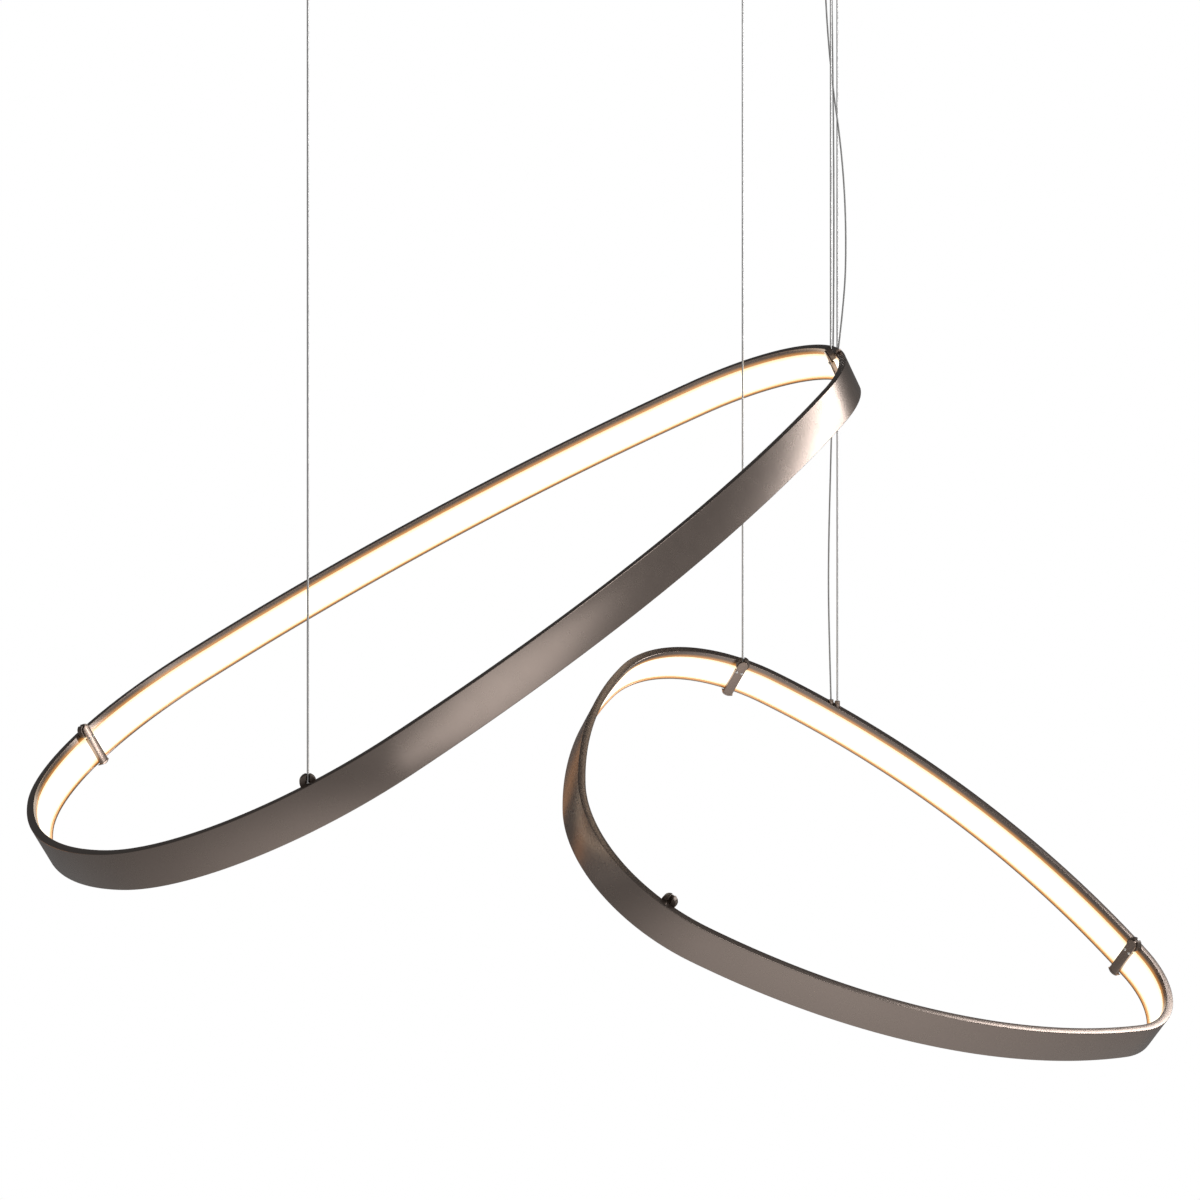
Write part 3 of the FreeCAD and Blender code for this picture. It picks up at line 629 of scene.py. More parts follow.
def coated_metal(name, tone, metallic=0.95, roughness=0.27, grain=1400.0, depth=0.00002):
    """Satin lacquer on metal: fine pebbling, faint clouding, uneven gloss."""
    shader = Shader(name)
    shader.base.inputs["Metallic"].default_value = metallic
    where = shader.place()
    shader.blend(shader.noise(where, scale=9.0, detail=3.0), tone, change=0.04)
    shader.gloss(shader.noise(where, scale=60.0, detail=5.0), roughness, change=0.04)
    shader.bump(shader.noise(where, grain, detail=2.0), strength=0.03, distance=depth)
    return shader


def bronze_with_painted_glow(name):
    """The bands' satin bronze, with a painted warm glow on the two lips beside the strip: emission
    that stands in for the strip's spilled light.
    """
    finish = settings("finish")
    band = settings("band")
    shader = coated_metal(name, finish.bronze)
    girth_place = shader.part_of(shader.coordinate("UV"), "Y")
    lip_foot = 0.0
    lip_reach = band.lip_height * 0.75
    floor_edge = band.lip_height + band.depth * 2 + band.height + band.floor * 0.75
    floor_reach = band.floor
    painted_spills = []
    # Painted light: the band glows at the lip's foot and at the floor's edge, fading away from each.
    for edge, reach in ((lip_foot, lip_reach), (floor_edge, floor_reach)):
        away = shader.math("ABSOLUTE", shader.math("SUBTRACT", girth_place, edge))
        painted_spills.append(shader.remap(away, (0.0, reach), (finish.painted_spill_strength, 0.0),
                                   "SMOOTHERSTEP"))
    shader.glow(finish.painted_spill, shader.math("ADD", *painted_spills))
    return shader


def lit_strip(name):
    """The opal diffuser: warm white, brightest along its middle, orange at its edges."""
    finish = settings("finish")
    band = settings("band")
    shader = Shader(name)
    shader.base.inputs["Base Color"].default_value = (0.85, 0.80, 0.72, 1)
    shader.base.inputs["Roughness"].default_value = 0.45
    low = band.floor - band.height / 2
    high = band.height / 2 - band.lip_height
    across = shader.remap(shader.part_of(shader.coordinate("UV"), "Y"), (low, high))
    dim = finish.edge_strength / finish.glow_strength
    cream_dim = dim * 1.25
    near_full = 0.8
    stops = ((0.0, finish.fringe, dim), (0.08, finish.cream, cream_dim),
             (0.19, finish.glow, near_full), (0.5, finish.glow, 1.0),
             (0.73, finish.glow, near_full), (0.88, finish.cream, cream_dim),
             (1.0, finish.fringe, dim))
    tones = shader.ramp(across, [(position, tone) for position, tone, _ in stops])
    powers = shader.ramp(across, [(position, power) for position, _, power in stops])
    chips = shader.noise(shader.place(), scale=55.0, detail=1.0)
    ripple = shader.spread(chips, finish.glow_strength * 0.97, finish.glow_strength * 1.03)
    shader.glow(tones, shader.math("MULTIPLY", powers, ripple))
    shader.bump(shader.noise(shader.place(), scale=900.0), strength=0.15, distance=0.00005)
    return shader


def stranded(name, tone, radius):
    """Fine wires laid round a cable: slanting grooves and an uneven shine."""
    shader = Shader(name)
    shader.base.inputs["Metallic"].default_value = 0.9
    shader.base.inputs["Roughness"].default_value = 0.34
    slant = 0.45
    grooves = 0.16 / radius
    where = shader.place((1.0, 1.0, slant))
    lay = shader.node("ShaderNodeTexWave", Scale=grooves, Distortion=0.4)
    lay.bands_direction = "DIAGONAL"
    shader.link(where, lay.inputs["Vector"])
    shader.bump(lay.outputs["Fac"], strength=0.08, distance=radius * 0.06)
    shader.blend(shader.noise(where, scale=140.0), tone, change=0.03)
    return shader


def moulded(name, tone, roughness):
    """Moulded plastic with a fine grain and slight unevenness."""
    shader = Shader(name)
    where = shader.place()
    shader.blend(shader.noise(where, scale=18.0), tone, change=0.07)
    shader.gloss(shader.noise(where, scale=90.0), roughness, change=0.15)
    shader.bump(shader.noise(where, scale=500.0), strength=0.2, distance=0.0001)
    return shader


_made = {}


def finish_of(slot):
    """The material of a slot, made once."""
    if slot in _made:
        return _made[slot]
    finish = settings("finish")
    lines = settings("lines")
    makers = {
        "band_bronze": lambda: bronze_with_painted_glow(slot),
        "cover_bronze": lambda: coated_metal(slot, finish.bronze, roughness=0.3),
        "clip_bronze": lambda: coated_metal(slot, finish.clip_bronze, roughness=0.26,
                                            grain=1800.0),
        # Painted shade: the swivel discs are coloured dark to stand for the shade they sit in.
        "dark_swivel": lambda: coated_metal(slot, finish.swivel, metallic=0.6, roughness=0.34,
                                            grain=2200.0, depth=0.00003),
        "opal_diffuser": lambda: lit_strip(slot),
        "light_tape": lambda: moulded(slot, (0.80, 0.72, 0.45), roughness=0.5),
        "bright_steel": lambda: coated_metal(slot, (0.72, 0.71, 0.70), metallic=1.0,
                                             roughness=0.16, grain=3000.0, depth=0.00001),
        "stop_steel": lambda: coated_metal(slot, finish.steel, metallic=1.0, roughness=0.3,
                                           grain=2500.0),
        "cable_steel": lambda: stranded(slot, finish.steel, lines.cable_radius),
        "cord_sheath": lambda: moulded(slot, finish.sheath, roughness=0.28),
        "gland_plastic": lambda: moulded(slot, (0.07, 0.06, 0.055), roughness=0.45),
        "nickel_fitting": lambda: coated_metal(slot, (0.50, 0.48, 0.45), metallic=1.0,
                                               roughness=0.24, grain=2600.0, depth=0.00001),
        "plate_steel": lambda: coated_metal(slot, (0.45, 0.45, 0.45), metallic=0.9,
                                            roughness=0.42, grain=900.0, depth=0.00003),
        "supply_case": lambda: moulded(slot, (0.78, 0.78, 0.75), roughness=0.5),
        "terminal_plastic": lambda: moulded(slot, (0.70, 0.66, 0.56), roughness=0.45),
    }
    _made[slot] = makers[slot]().material
    return _made[slot]


# ----------------------------------------------------------------------------------------
# Operators
# ----------------------------------------------------------------------------------------
class PENDANT_OT_bands(bpy.types.Operator):
    """Build both bent channels with their long upper lip and short floor"""

    bl_idname = "pendant.bands"
    bl_label = "Bands"

    def execute(self, context):
        band = settings("band")
        top = band.height / 2
        soft = band.edge_round
        fine = band.wall / 5
        section = rounded([
            (band.depth, top - band.lip_height, fine * 1.5), (band.depth, top, soft),
            (0, top, soft), (0, -top, soft), (band.depth, -top, fine * 2),
            (band.depth, -top + band.floor, fine * 1.5), (band.wall, -top + band.floor, 0),
            (band.wall, top - band.wall, 0), (band.depth - band.lip_wall, top - band.wall, 0),
            (band.depth - band.lip_wall, top - band.lip_height, fine)])
        across = girth(section)
        for name in CLIPS:
            piece = swept(f"{name}_band_shell", Outline(settings(name)), section, band.facet,
                          across)
            dress(piece, finish_of("band_bronze"), f"{name}_loop", f"{name}_band")
        return {"FINISHED"}


class PENDANT_OT_strips(bpy.types.Operator):
    """Build both lit diffusers, tucked behind the long lips"""

    bl_idname = "pendant.strips"
    bl_label = "Light strips"

    def execute(self, context):
        band = settings("band")
        front = band.depth - band.lip_wall - band.slack
        back = front - band.diffuser_wall
        low = -band.height / 2 + band.floor + band.slack
        high = band.height / 2 - band.wall - band.slack
        steps = 12
        section = [(back, low)]
        section += [(front, low + (high - low) * index / steps) for index in range(steps + 1)]
        section += [(back, high)]
        for name in CLIPS:
            piece = swept(f"{name}_diffuser_strip", Outline(settings(name)), section, band.facet,
                          heights(section))
            dress(piece, finish_of("opal_diffuser"), f"{name}_loop", f"{name}_diffuser")
            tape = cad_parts[f"{name}_led_tape"]
            tape.data.materials.clear()
            tape.data.materials.append(finish_of("light_tape"))
        return {"FINISHED"}


class PENDANT_OT_clips(bpy.types.Operator):
    """Build the six cable clips: bar, cheek and lug"""

    bl_idname = "pendant.clips"
    bl_label = "Cable clips"

    def execute(self, context):
        band = settings("band")
        clip = settings("clip")
        top = band.height / 2
        disc_back = band.depth + clip.disc_gap
        cheek_back = disc_back + clip.disc_thickness + clip.gap
        cheek_front = cheek_back + clip.cheek
        bar_back = cheek_front - clip.bar_depth
        bar_top = top - clip.disc_radius - clip.gap * 2
        half = clip.width / 2
        arch_steps = 16
        arch = []
        for step in range(arch_steps + 1):
            turn = math.pi * step / arch_steps
            arch.append((half * math.cos(turn), top + half * math.sin(turn)))
        cheek = [(-half, -top), (half, -top)] + arch
        bar = rounded([(-half, -top, 0), (half, -top, 0), (half, bar_top, 0.0004),
                       (-half, bar_top, 0.0004)])
        wide = clip.lug_width / 2
        drop = clip.lug_drop
        radius = (wide ** 2 + drop ** 2) / (2 * drop)
        reach = math.asin(wide / radius)
        lug_steps = 24
        lug = []
        for step in range(lug_steps + 1):
            turn = reach - 2 * reach * step / lug_steps
            lug.append((radius * math.sin(turn), -top - drop + radius - radius * math.cos(turn)))
        inwards = Matrix.Rotation(-math.pi / 2, 4, "X")
        pin_reach = clip.cheek / 2 + clip.gap + clip.pin_engagement
        pin = clip.nest_radius - clip.pin_clearance
        for name, spots in CLIPS.items():
            for spot in spots:
                seat = clip_frame(name, spot)
                boss = seat @ Matrix.Translation((0, cheek_back + clip.cheek / 2, top)) @ inwards
                parts = [
                    turned("part", [(0, 0), (pin, 0), (pin, -pin_reach), (0, -pin_reach)], boss),
                    plate("part", bar, bar_back, cheek_back + clip.cheek / 2, seat),
                    plate("part", cheek, cheek_back, cheek_front, seat, 0.0004),
                    plate("part", lug, clip.lug_reach, cheek_front, seat, 0.0006),
                ]
                piece = joined(f"{name}_{spot}_clip_bar", parts)
                dress(piece, finish_of("clip_bronze"), f"{name}_loop", f"{name}_{spot}_clip")
        return {"FINISHED"}


class PENDANT_OT_swivels(bpy.types.Operator):
    """Build the slotted swivel discs, turned so that their slots follow the cables"""

    bl_idname = "pendant.swivels"
    bl_label = "Swivel discs"

    def execute(self, context):
        band = settings("band")
        clip = settings("clip")
        back = band.depth + clip.disc_gap
        radius = clip.disc_radius
        slot = clip.slot_width / 2
        mouth = math.asin(slot / radius)
        nest = clip.nest_radius
        throat = math.asin(slot / nest)
        rim = open_ring(radius, mouth, 72)
        seat_line = [(-x, z) for x, z in open_ring(nest, throat, 24)]
        outline = rim + seat_line
        for name, spots in CLIPS.items():
            for spot in spots:
                seat = clip_frame(name, spot) @ Matrix.Translation((0, 0, band.height / 2))
                if (name, spot) in HUNG:
                    up = seat.to_3x3().inverted() @ Vector((0, 0, 1))
                    seat = seat @ Matrix.Rotation(math.atan2(up.x, up.z), 4, "Y")
                piece = plate(f"{name}_{spot}_swivel_disc", outline, back, back + clip.disc_thickness,
                              seat, 0.0005)
                dress(piece, finish_of("dark_swivel"), f"{name}_{spot}_swivel_body",
                      f"{name}_{spot}_swivel")
        return {"FINISHED"}


def open_ring(radius, mouth, steps):
    """Points round a circle that stays open at its top, from one side of the mouth to the other."""
    turns = [mouth + (2 * math.pi - 2 * mouth) * step / steps for step in range(steps + 1)]
    return [(radius * math.sin(turn), radius * math.cos(turn)) for turn in turns]


class PENDANT_OT_studs(bpy.types.Operator):
    """Add the bright studs at each bar's top and the grub screw under each lug"""

    bl_idname = "pendant.studs"
    bl_label = "Studs and screws"

    def execute(self, context):
        band = settings("band")
        clip = settings("clip")
        inner = band.depth + clip.disc_gap + clip.disc_thickness + clip.gap + clip.cheek
        height = band.height / 2 - clip.disc_radius - clip.stud_radius * 1.2
        head = domed(clip.stud_radius, clip.stud_radius * 0.7)
        screw = clip.screw_radius
        socket = [(0, -0.0002), (screw * 0.55, -0.0002), (screw * 0.55, 0.0003), (screw * 0.9, 0.0003),
                  (screw, 0.0002), (screw, -0.0004), (0, -0.0004)]
        middle = (clip.lug_reach + inner) / 2
        foot = -band.height / 2 - clip.lug_drop
        inwards = Matrix.Rotation(-math.pi / 2, 4, "X")
        downward = Matrix.Rotation(math.pi, 4, "X")
        for name, spots in CLIPS.items():
            for spot in spots:
                seat = clip_frame(name, spot)
                parts = []
                for side in (-clip.stud_apart / 2, clip.stud_apart / 2):
                    stud = seat @ Matrix.Translation((side, inner, height)) @ inwards
                    parts.append(turned("part", head, stud, SMALL_SIDES))
                grub = seat @ Matrix.Translation((0, middle, foot)) @ downward
                parts.append(turned("part", socket, grub, SMALL_SIDES))
                piece = joined(f"{name}_{spot}_clip_studs", parts)
                piece.data.materials.append(finish_of("bright_steel"))
                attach(piece, f"{name}_loop")
        return {"FINISHED"}


def domed(radius, height, steps=6):
    """A low round head on a short neck that is sunk into what carries it."""
    crown = [(radius * math.cos(math.pi / 2 * k / steps), height * math.sin(math.pi / 2 * k / steps))
             for k in range(steps)]
    return [(0, -height * 0.3), (radius, -height * 0.3)] + crown + [(0, height)]


def above_roof(piece, seat, height):
    """Cut a piece off level with a band's roof, and close the cut."""
    work = bmesh.new()
    work.from_mesh(piece.data)
    cut = bmesh.ops.bisect_plane(
        work, geom=work.verts[:] + work.edges[:] + work.faces[:], dist=1e-7,
        plane_co=seat @ Vector((0, 0, height)), plane_no=seat.to_3x3() @ Vector((0, 0, 1)),
        clear_inner=True)
    edges = [item for item in cut["geom_cut"] if isinstance(item, bmesh.types.BMEdge)]
    bmesh.ops.bridge_loops(work, edges=edges)
    bmesh.ops.recalc_face_normals(work, faces=work.faces)
    work.to_mesh(piece.data)
    work.free()


class PENDANT_OT_barrels(bpy.types.Operator):
    """Stand the power inlets and the cable anchor upright on the bands' slanting roofs"""

    bl_idname = "pendant.barrels"
    bl_label = "Inlets and anchor"

    def execute(self, context):
        top = settings("band").height / 2
        lines = settings("lines")
        large = settings("large")
        small = settings("small")
        inlet = (lines.inlet_radius, lines.inlet_bore, lines.inlet_rise, lines.inlet_crown)
        anchor = (lines.anchor_radius, lines.anchor_bore, lines.anchor_rise, lines.anchor_crown)
        for loop, node, turn, (radius, bore, rise, crown) in (
                ("large", "power_inlet", large.inlet_angle, inlet),
                ("small", "power_inlet", small.inlet_angle, inlet),
                ("small", "cable_anchor", small.anchor_angle, anchor)):
            middle = roof_point(loop, turn, rise)
            below_roof = -(rise + radius) * 2.5
            soft = 0.0004
            profile = [(bore, below_roof), (radius, below_roof), (radius, crown - soft * 2),
                       (radius - soft * 0.3, crown - soft * 0.6), (radius - soft, crown),
                       (bore + soft * 0.5, crown), (bore, crown - soft * 0.5)]
            piece = turned(f"{loop}_{node}_barrel", profile, Matrix.Translation(middle), segments=40)
            above_roof(piece, Outline(settings(loop)).frame_at(turn), top)
            dress(piece, finish_of("clip_bronze"), f"{loop}_loop", f"{loop}_{node}")
        return {"FINISHED"}


def stop_point(name, spot):
    """Middle of the ferrule that ends a cable in a clip."""
    band = settings("band")
    clip = settings("clip")
    inset = band.depth + clip.disc_gap + clip.nest_radius
    return clip_frame(name, spot) @ Vector((0, inset, band.height / 2))


def roof_point(name, turn, rise):
    """A point over the middle of the band's roof."""
    band = settings("band")
    seat = Outline(settings(name)).frame_at(turn)
    return seat @ Vector((0, band.depth / 2, band.height / 2 + rise))


def line_curve(name, points, radius):
    """A smooth round line that follows its points."""
    data = bpy.data.curves.new(name, "CURVE")
    data.dimensions = "3D"
    data.bevel_depth = radius
    data.bevel_resolution = 5
    data.resolution_u = 16
    data.use_fill_caps = True
    spline = data.splines.new("NURBS")
    spline.points.add(len(points) - 1)
    for knot, spot in zip(spline.points, points):
        knot.co = (*spot, 1)
    spline.order_u = 3
    spline.use_endpoint_u = True
    piece = bpy.data.objects.new(name, data)
    bpy.context.scene.collection.objects.link(piece)
    return piece


def cable_ends():
    """Middle of each cable's ferrule, and whether the cable hangs from a cup of its own."""
    lines = settings("lines")
    small = settings("small")
    return {
        "large_front": (stop_point("large", "front"), True),
        "large_end": (stop_point("large", "end"), False),
        "small_left": (stop_point("small", "left"), True),
        "small_back": (roof_point("small", small.anchor_angle, lines.anchor_rise), False),
    }


class PENDANT_OT_cables(bpy.types.Operator):
    """String the four steel cables, each straight from its ferrule to its gripper"""

    bl_idname = "pendant.cables"
    bl_label = "Cables"

    def execute(self, context):
        lines = settings("lines")
        ceiling = settings("ceiling")
        long = lines.stop_length / 2
        radius = lines.stop_radius
        waist = radius * 0.9
        ferrule = [(0, -long), (radius * 0.85, -long), (radius, -long * 0.85), (radius, -long * 0.5),
                   (waist, -long * 0.3), (waist, long * 0.3), (radius, long * 0.5),
                   (radius, long * 0.85), (radius * 0.85, long), (0, long)]
        for name, (middle, own_cup) in cable_ends().items():
            cover = ceiling.cup_height if own_cup else ceiling.canopy_height
            low = middle + Vector((0, 0, long))
            high = Vector((middle.x, middle.y, -cover - ceiling.gripper_length))
            piece = line_curve(f"{name}_line", [low, (low + high) / 2, high], lines.cable_radius)
            dress(piece, finish_of("cable_steel"), "ceiling_side", f"{name}_cable")
            stop = turned(f"{name}_ferrule", ferrule, Matrix.Translation(middle), segments=32)
            dress(stop, finish_of("stop_steel"), "ceiling_side", f"{name}_stop")
        return {"FINISHED"}


class PENDANT_OT_power_cords(bpy.types.Operator):
    """Hang the two power cords in their long bows"""

    bl_idname = "pendant.power_cords"
    bl_label = "Power cords"

    def execute(self, context):
        lines = settings("lines")
        ceiling = settings("ceiling")
        top = -ceiling.canopy_height - ceiling.gland_length
        large = settings("large")
        small = settings("small")
        crown = Vector((0, 0, lines.inlet_crown))
        routes = {
            "large": [
                (-0.011, -0.012, top), (-0.0104, -0.014, -0.070), (-0.0072, -0.0175, -0.124),
                (-0.0024, -0.022, -0.176), (0.0042, -0.027, -0.226), (0.0086, -0.032, -0.282),
                (0.0098, -0.0365, -0.340), (0.0078, -0.041, -0.396),
                roof_point("large", large.inlet_angle, lines.inlet_rise) + crown],
            "small": [
                (-0.001, 0.018, top), (-0.0003, 0.0198, -0.078), (0.0008, 0.0234, -0.132),
                (0.0019, 0.0277, -0.186), (0.0027, 0.0326, -0.244), (0.0033, 0.037, -0.302),
                (0.0035, 0.0404, -0.360), (0.0033, 0.0428, -0.418), (0.0026, 0.0438, -0.474),
                (0.0014, 0.0436, -0.532), (-0.0002, 0.0424, -0.588), (-0.0018, 0.0405, -0.644),
                (-0.0027, 0.038, -0.700), (-0.0021, 0.0354, -0.754),
                roof_point("small", small.inlet_angle, lines.inlet_rise) + crown],
        }
        for name, route in routes.items():
            piece = line_curve(f"{name}_flex", route, lines.cord_radius)
            dress(piece, finish_of("cord_sheath"), "ceiling_side", f"{name}_power_cord")
        return {"FINISHED"}


class PENDANT_OT_ceiling(bpy.types.Operator):
    """Build the canopy's cover, the cups, the grippers and the glands, and finish the rest"""

    bl_idname = "pendant.ceiling"
    bl_label = "Ceiling fittings"

    def execute(self, context):
        ceiling = settings("ceiling")
        self.cover("canopy_cover", (0, 0), ceiling.canopy_radius, ceiling.canopy_height, 0.0)
        self.gland("large", (-0.011, -0.012))
        self.gland("small", (-0.001, 0.018))
        for name, (middle, own_cup) in cable_ends().items():
            spot = (middle.x, middle.y)
            depth = ceiling.cup_height if own_cup else ceiling.canopy_height
            if own_cup:
                self.cover(f"{name}_cup_cap", spot, ceiling.cup_radius, depth, ceiling.stem_radius)
            self.gripper(name, spot, depth)
        slots = {"canopy_plate": "plate_steel", "power_supply": "supply_case",
                 "terminal_block": "terminal_plastic", "large_front_cup_base": "plate_steel",
                 "small_left_cup_base": "plate_steel"}
        for name in cable_ends():
            slots[f"{name}_nut"] = "nickel_fitting"
        for node, slot in slots.items():
            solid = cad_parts[node]
            solid.data.materials.clear()
            solid.data.materials.append(finish_of(slot))
        return {"FINISHED"}

    def cover(self, node, spot, radius, height, bore):
        """A round cover, open at the ceiling, with a soft lower edge."""
        ceiling = settings("ceiling")
        wall = ceiling.wall
        soft = ceiling.edge_round
        gap = -ceiling.ceiling_gap
        profile = rounded([
            (bore, -height, 0), (radius, -height, soft), (radius, gap, wall * 0.2),
            (radius - wall, gap, wall * 0.2), (radius - wall, -height + wall, soft * 0.4),
            (bore, -height + wall, 0)])
        piece = turned(f"{node}_shell", profile, Matrix.Translation((*spot, 0)), segments=96)
        dress(piece, finish_of("cover_bronze"), "ceiling_side", node)

    def gripper(self, name, spot, depth):
        """A knurled body with a bare nose, hung under its cover by a stem."""
        ceiling = settings("ceiling")
        radius = ceiling.gripper_radius
        stem = ceiling.stem_radius
        nose = ceiling.nose_radius
        long = ceiling.gripper_length
        shoulder = ceiling.nose_length - long
        soft = 0.0003
        profile = [(0, ceiling.stem_length), (stem - soft, ceiling.stem_length),
                   (stem, ceiling.stem_length - soft), (stem, 0), (radius - soft, 0), (radius, -soft)]
        grooves = 5
        first_groove = 0.003
        pitch = 0.0016
        for index in range(grooves):
            level = -first_groove - index * pitch
            profile += [(radius, level), (radius - soft, level - soft),
                        (radius - soft, level - soft * 2), (radius, level - soft * 3)]
        profile += [(radius, shoulder + soft), (radius - soft, shoulder), (nose, shoulder),
                    (nose, -long + soft), (nose - soft, -long), (0, -long)]
        seat = Matrix.Translation((*spot, -depth))
        piece = turned(f"{name}_gripper_body", profile, seat, segments=48)
        dress(piece, finish_of("nickel_fitting"), "ceiling_side", f"{name}_gripper")

    def gland(self, name, spot):
        """A stepped, ribbed strain relief."""
        ceiling = settings("ceiling")
        wide = ceiling.gland_radius
        nose = ceiling.gland_nose
        long = ceiling.gland_length
        collar = ceiling.gland_collar
        soft = 0.0003
        profile = [(0, 0), (wide, 0), (wide, -collar + soft), (wide - soft, -collar), (nose, -collar)]
        ribs = 3
        pitch = (long - collar) / ribs
        for index in range(ribs):
            level = -collar - pitch * index
            profile += [(nose, level - pitch * 0.5), (nose - soft, level - pitch * 0.6),
                        (nose - soft, level - pitch * 0.85), (nose, level - pitch * 0.95)]
        profile += [(nose - soft, -long), (0, -long)]
        seat = Matrix.Translation((*spot, -ceiling.canopy_height))
        piece = turned(f"{name}_gland_body", profile, seat, segments=40)
        dress(piece, finish_of("gland_plastic"), "ceiling_side", f"{name}_cord_gland")


def softbox(name, spot, target, width, height, power, tone=(1, 1, 1)):
    """A rectangular lamp that looks at a target."""
    data = bpy.data.lights.new(name, "AREA")
    data.shape = "RECTANGLE"
    data.size = width
    data.size_y = height
    data.energy = power
    data.color = tone
    lamp = bpy.data.objects.new(name, data)
    lamp.location = spot
    lamp.rotation_euler = (Vector(target) - Vector(spot)).to_track_quat("-Z", "Y").to_euler()
    lamp.visible_camera = False
    bpy.context.scene.collection.objects.link(lamp)
    return lamp


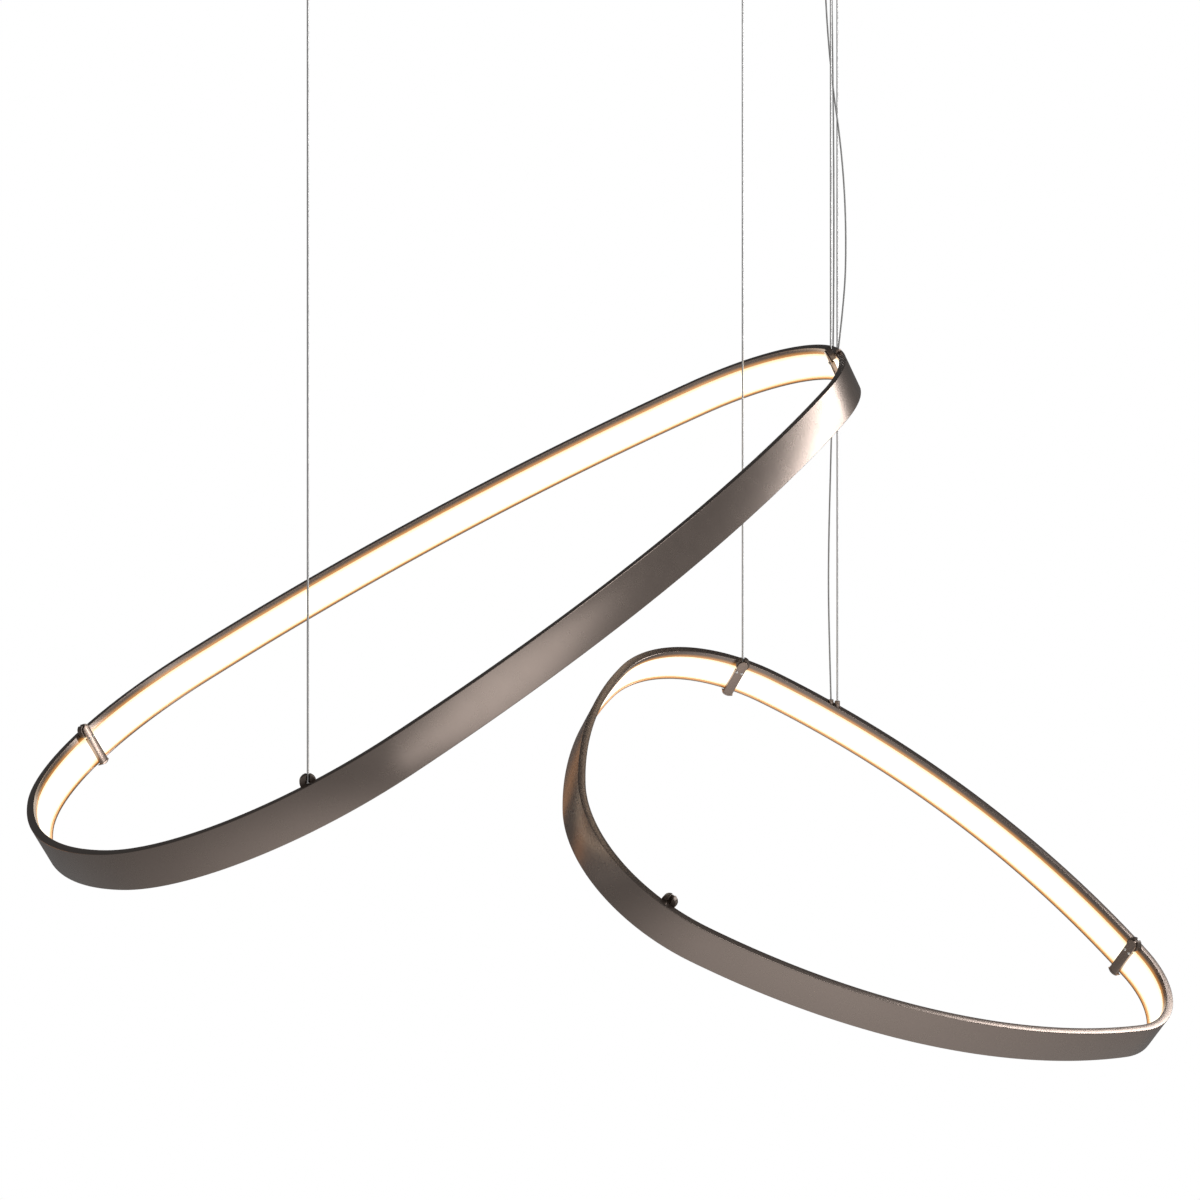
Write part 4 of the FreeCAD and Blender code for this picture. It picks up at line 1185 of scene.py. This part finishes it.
class PENDANT_OT_stage(bpy.types.Operator):
    """Set up the camera, the pale floor, the white backdrop and the soft studio light"""

    bl_idname = "pendant.stage"
    bl_label = "Stage"

    def execute(self, context):
        scene = context.scene
        studio = settings("studio")
        data = bpy.data.cameras.new("Camera")
        data.sensor_width = 36.0
        data.lens = studio.focal
        data.clip_end = 50.0
        camera = bpy.data.objects.new("Camera", data)
        camera.location = studio.eye
        camera.rotation_euler = (math.radians(90), 0, 0)
        scene.collection.objects.link(camera)
        scene.camera = camera
        self.backdrop()
        softbox("Side softbox", spot=(1.81, 0.51, -0.02), target=(-0.02, -0.10, -0.55),
                width=0.27, height=1.3, power=studio.key)
        softbox("Front softbox", spot=(1.34, -1.55, -1.02), target=(-0.30, -0.45, -0.80),
                width=0.95, height=1.0, power=studio.fill)
        softbox("High softbox", spot=(1.15, -1.33, 0.46), target=(-0.10, -0.25, -0.90),
                width=0.9, height=0.9, power=studio.top)
        kickers = {"Left kicker": (-1.64, 0.43, -0.95), "Rear kicker": (-0.93, 1.15, -0.82)}
        for name, spot in kickers.items():
            softbox(name, spot, target=(-0.30, -0.20, -0.93), width=0.22, height=0.5,
                    power=studio.kicker, tone=studio.kicker_tone)
        self.floor()
        scene.view_settings.view_transform = "Standard"
        scene.view_settings.look = "None"
        return {"FINISHED"}

    def backdrop(self):
        """White walls to the eye; to the metal, a grey room that darkens upwards and behind."""
        studio = settings("studio")
        world = bpy.data.worlds.new("Studio")
        world.use_nodes = True
        bpy.context.scene.world = world
        nodes = Nodes(world.node_tree)
        white = nodes.tree.nodes["Background"]
        white.inputs["Color"].default_value = (1, 1, 1, 1)
        walls = nodes.node("ShaderNodeBackground")
        towards = nodes.coordinate("Generated")
        rise = nodes.remap(nodes.part_of(towards, "Z"), (-1.0, 1.0))
        tones = nodes.ramp(rise, ((0.02, 0.80), (0.12, 0.60), (0.25, 0.46), (0.42, 0.32),
                                  (0.52, 0.25), (0.65, 0.18), (1.0, 0.10)))
        nodes.link(tones, walls.inputs["Color"])
        front_to_back = (-0.1, 0.8)
        strength = nodes.remap(nodes.part_of(towards, "Y"), front_to_back,
                               (studio.surround, studio.surround * 0.5), "SMOOTHSTEP")
        nodes.link(strength, walls.inputs["Strength"])
        both = nodes.seen_as(walls.outputs["Background"], white.outputs["Background"])
        nodes.link(both, nodes.tree.nodes["World Output"].inputs["Surface"])

    def floor(self):
        """A pale floor under the light, which ends in the white of the backdrop; to the metal it glows
        with a painted pool of light, brightest in its middle, and to the eye it glows pale, lighter
        towards its rim.
        """
        studio = settings("studio")
        work = bmesh.new()
        bmesh.ops.create_circle(work, cap_ends=True, radius=studio.floor_radius, segments=128)
        mesh = bpy.data.meshes.new("floor")
        work.to_mesh(mesh)
        work.free()
        floor = bpy.data.objects.new("floor", mesh)
        floor.location = (0, studio.floor_forward, studio.floor_level)
        bpy.context.scene.collection.objects.link(floor)
        shader = Shader("pale_floor")
        shader.base.inputs["Base Color"].default_value = (0.5, 0.5, 0.5, 1)
        shader.base.inputs["Roughness"].default_value = 0.9
        far = shader.node("ShaderNodeVectorMath")
        far.operation = "LENGTH"
        shader.link(shader.place(), far.inputs[0])
        across = shader.remap(far.outputs["Value"], (0.0, studio.floor_radius))
        # Painted pool of light: emission brightest in the floor's middle and fading to its rim, seen
        # in reflections and bounce light.
        painted_light_pool = shader.ramp(across, ((0.0, 0.70), (0.2, 0.48), (0.38, 0.28), (0.6, 0.18),
                                    (1.0, 0.15)))
        shader.link(painted_light_pool, shader.base.inputs["Emission Color"])
        shader.base.inputs["Emission Strength"].default_value = 1.0
        pale = shader.node("ShaderNodeEmission")
        rim = shader.ramp(across, ((0.0, 0.80), (0.25, 0.84), (0.75, 1.0)))
        shader.link(rim, pale.inputs["Color"])
        both = shader.seen_as(shader.base.outputs["BSDF"], pale.outputs["Emission"])
        shader.link(both, shader.tree.nodes["Material Output"].inputs["Surface"])
        mesh.materials.append(shader.material)


class PENDANT_PT_panel(bpy.types.Panel):
    """Settings and steps of the pendant light"""

    bl_idname = "PENDANT_PT_panel"
    bl_label = "Pendant light"
    bl_space_type = "VIEW_3D"
    bl_region_type = "UI"
    bl_category = "Pendant"

    def draw(self, context):
        for operator in OPERATORS:
            self.layout.operator(operator.bl_idname)
        for group, kind in GROUPS.items():
            box = self.layout.box()
            box.label(text=kind.__doc__)
            for key in kind.__annotations__:
                box.prop(getattr(context.scene, group), key)


OPERATORS = (
    PENDANT_OT_bands,
    PENDANT_OT_strips,
    PENDANT_OT_clips,
    PENDANT_OT_swivels,
    PENDANT_OT_studs,
    PENDANT_OT_barrels,
    PENDANT_OT_cables,
    PENDANT_OT_power_cords,
    PENDANT_OT_ceiling,
    PENDANT_OT_stage,
)


def register():
    """Make the settings, the steps and the panel known."""
    for name, group in GROUPS.items():
        bpy.utils.register_class(group)
        setattr(bpy.types.Scene, name, PointerProperty(type=group))
    for operator in OPERATORS:
        bpy.utils.register_class(operator)
    bpy.utils.register_class(PENDANT_PT_panel)


def unregister():
    """Take them away again."""
    bpy.utils.unregister_class(PENDANT_PT_panel)
    for operator in reversed(OPERATORS):
        bpy.utils.unregister_class(operator)
    for name, group in reversed(GROUPS.items()):
        delattr(bpy.types.Scene, name)
        bpy.utils.unregister_class(group)


def main():
    """Build everything."""
    register()
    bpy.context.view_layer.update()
    for operator in OPERATORS:
        group, step = operator.bl_idname.split(".")
        getattr(getattr(bpy.ops, group), step)()


if __name__ == "__main__":
    main()
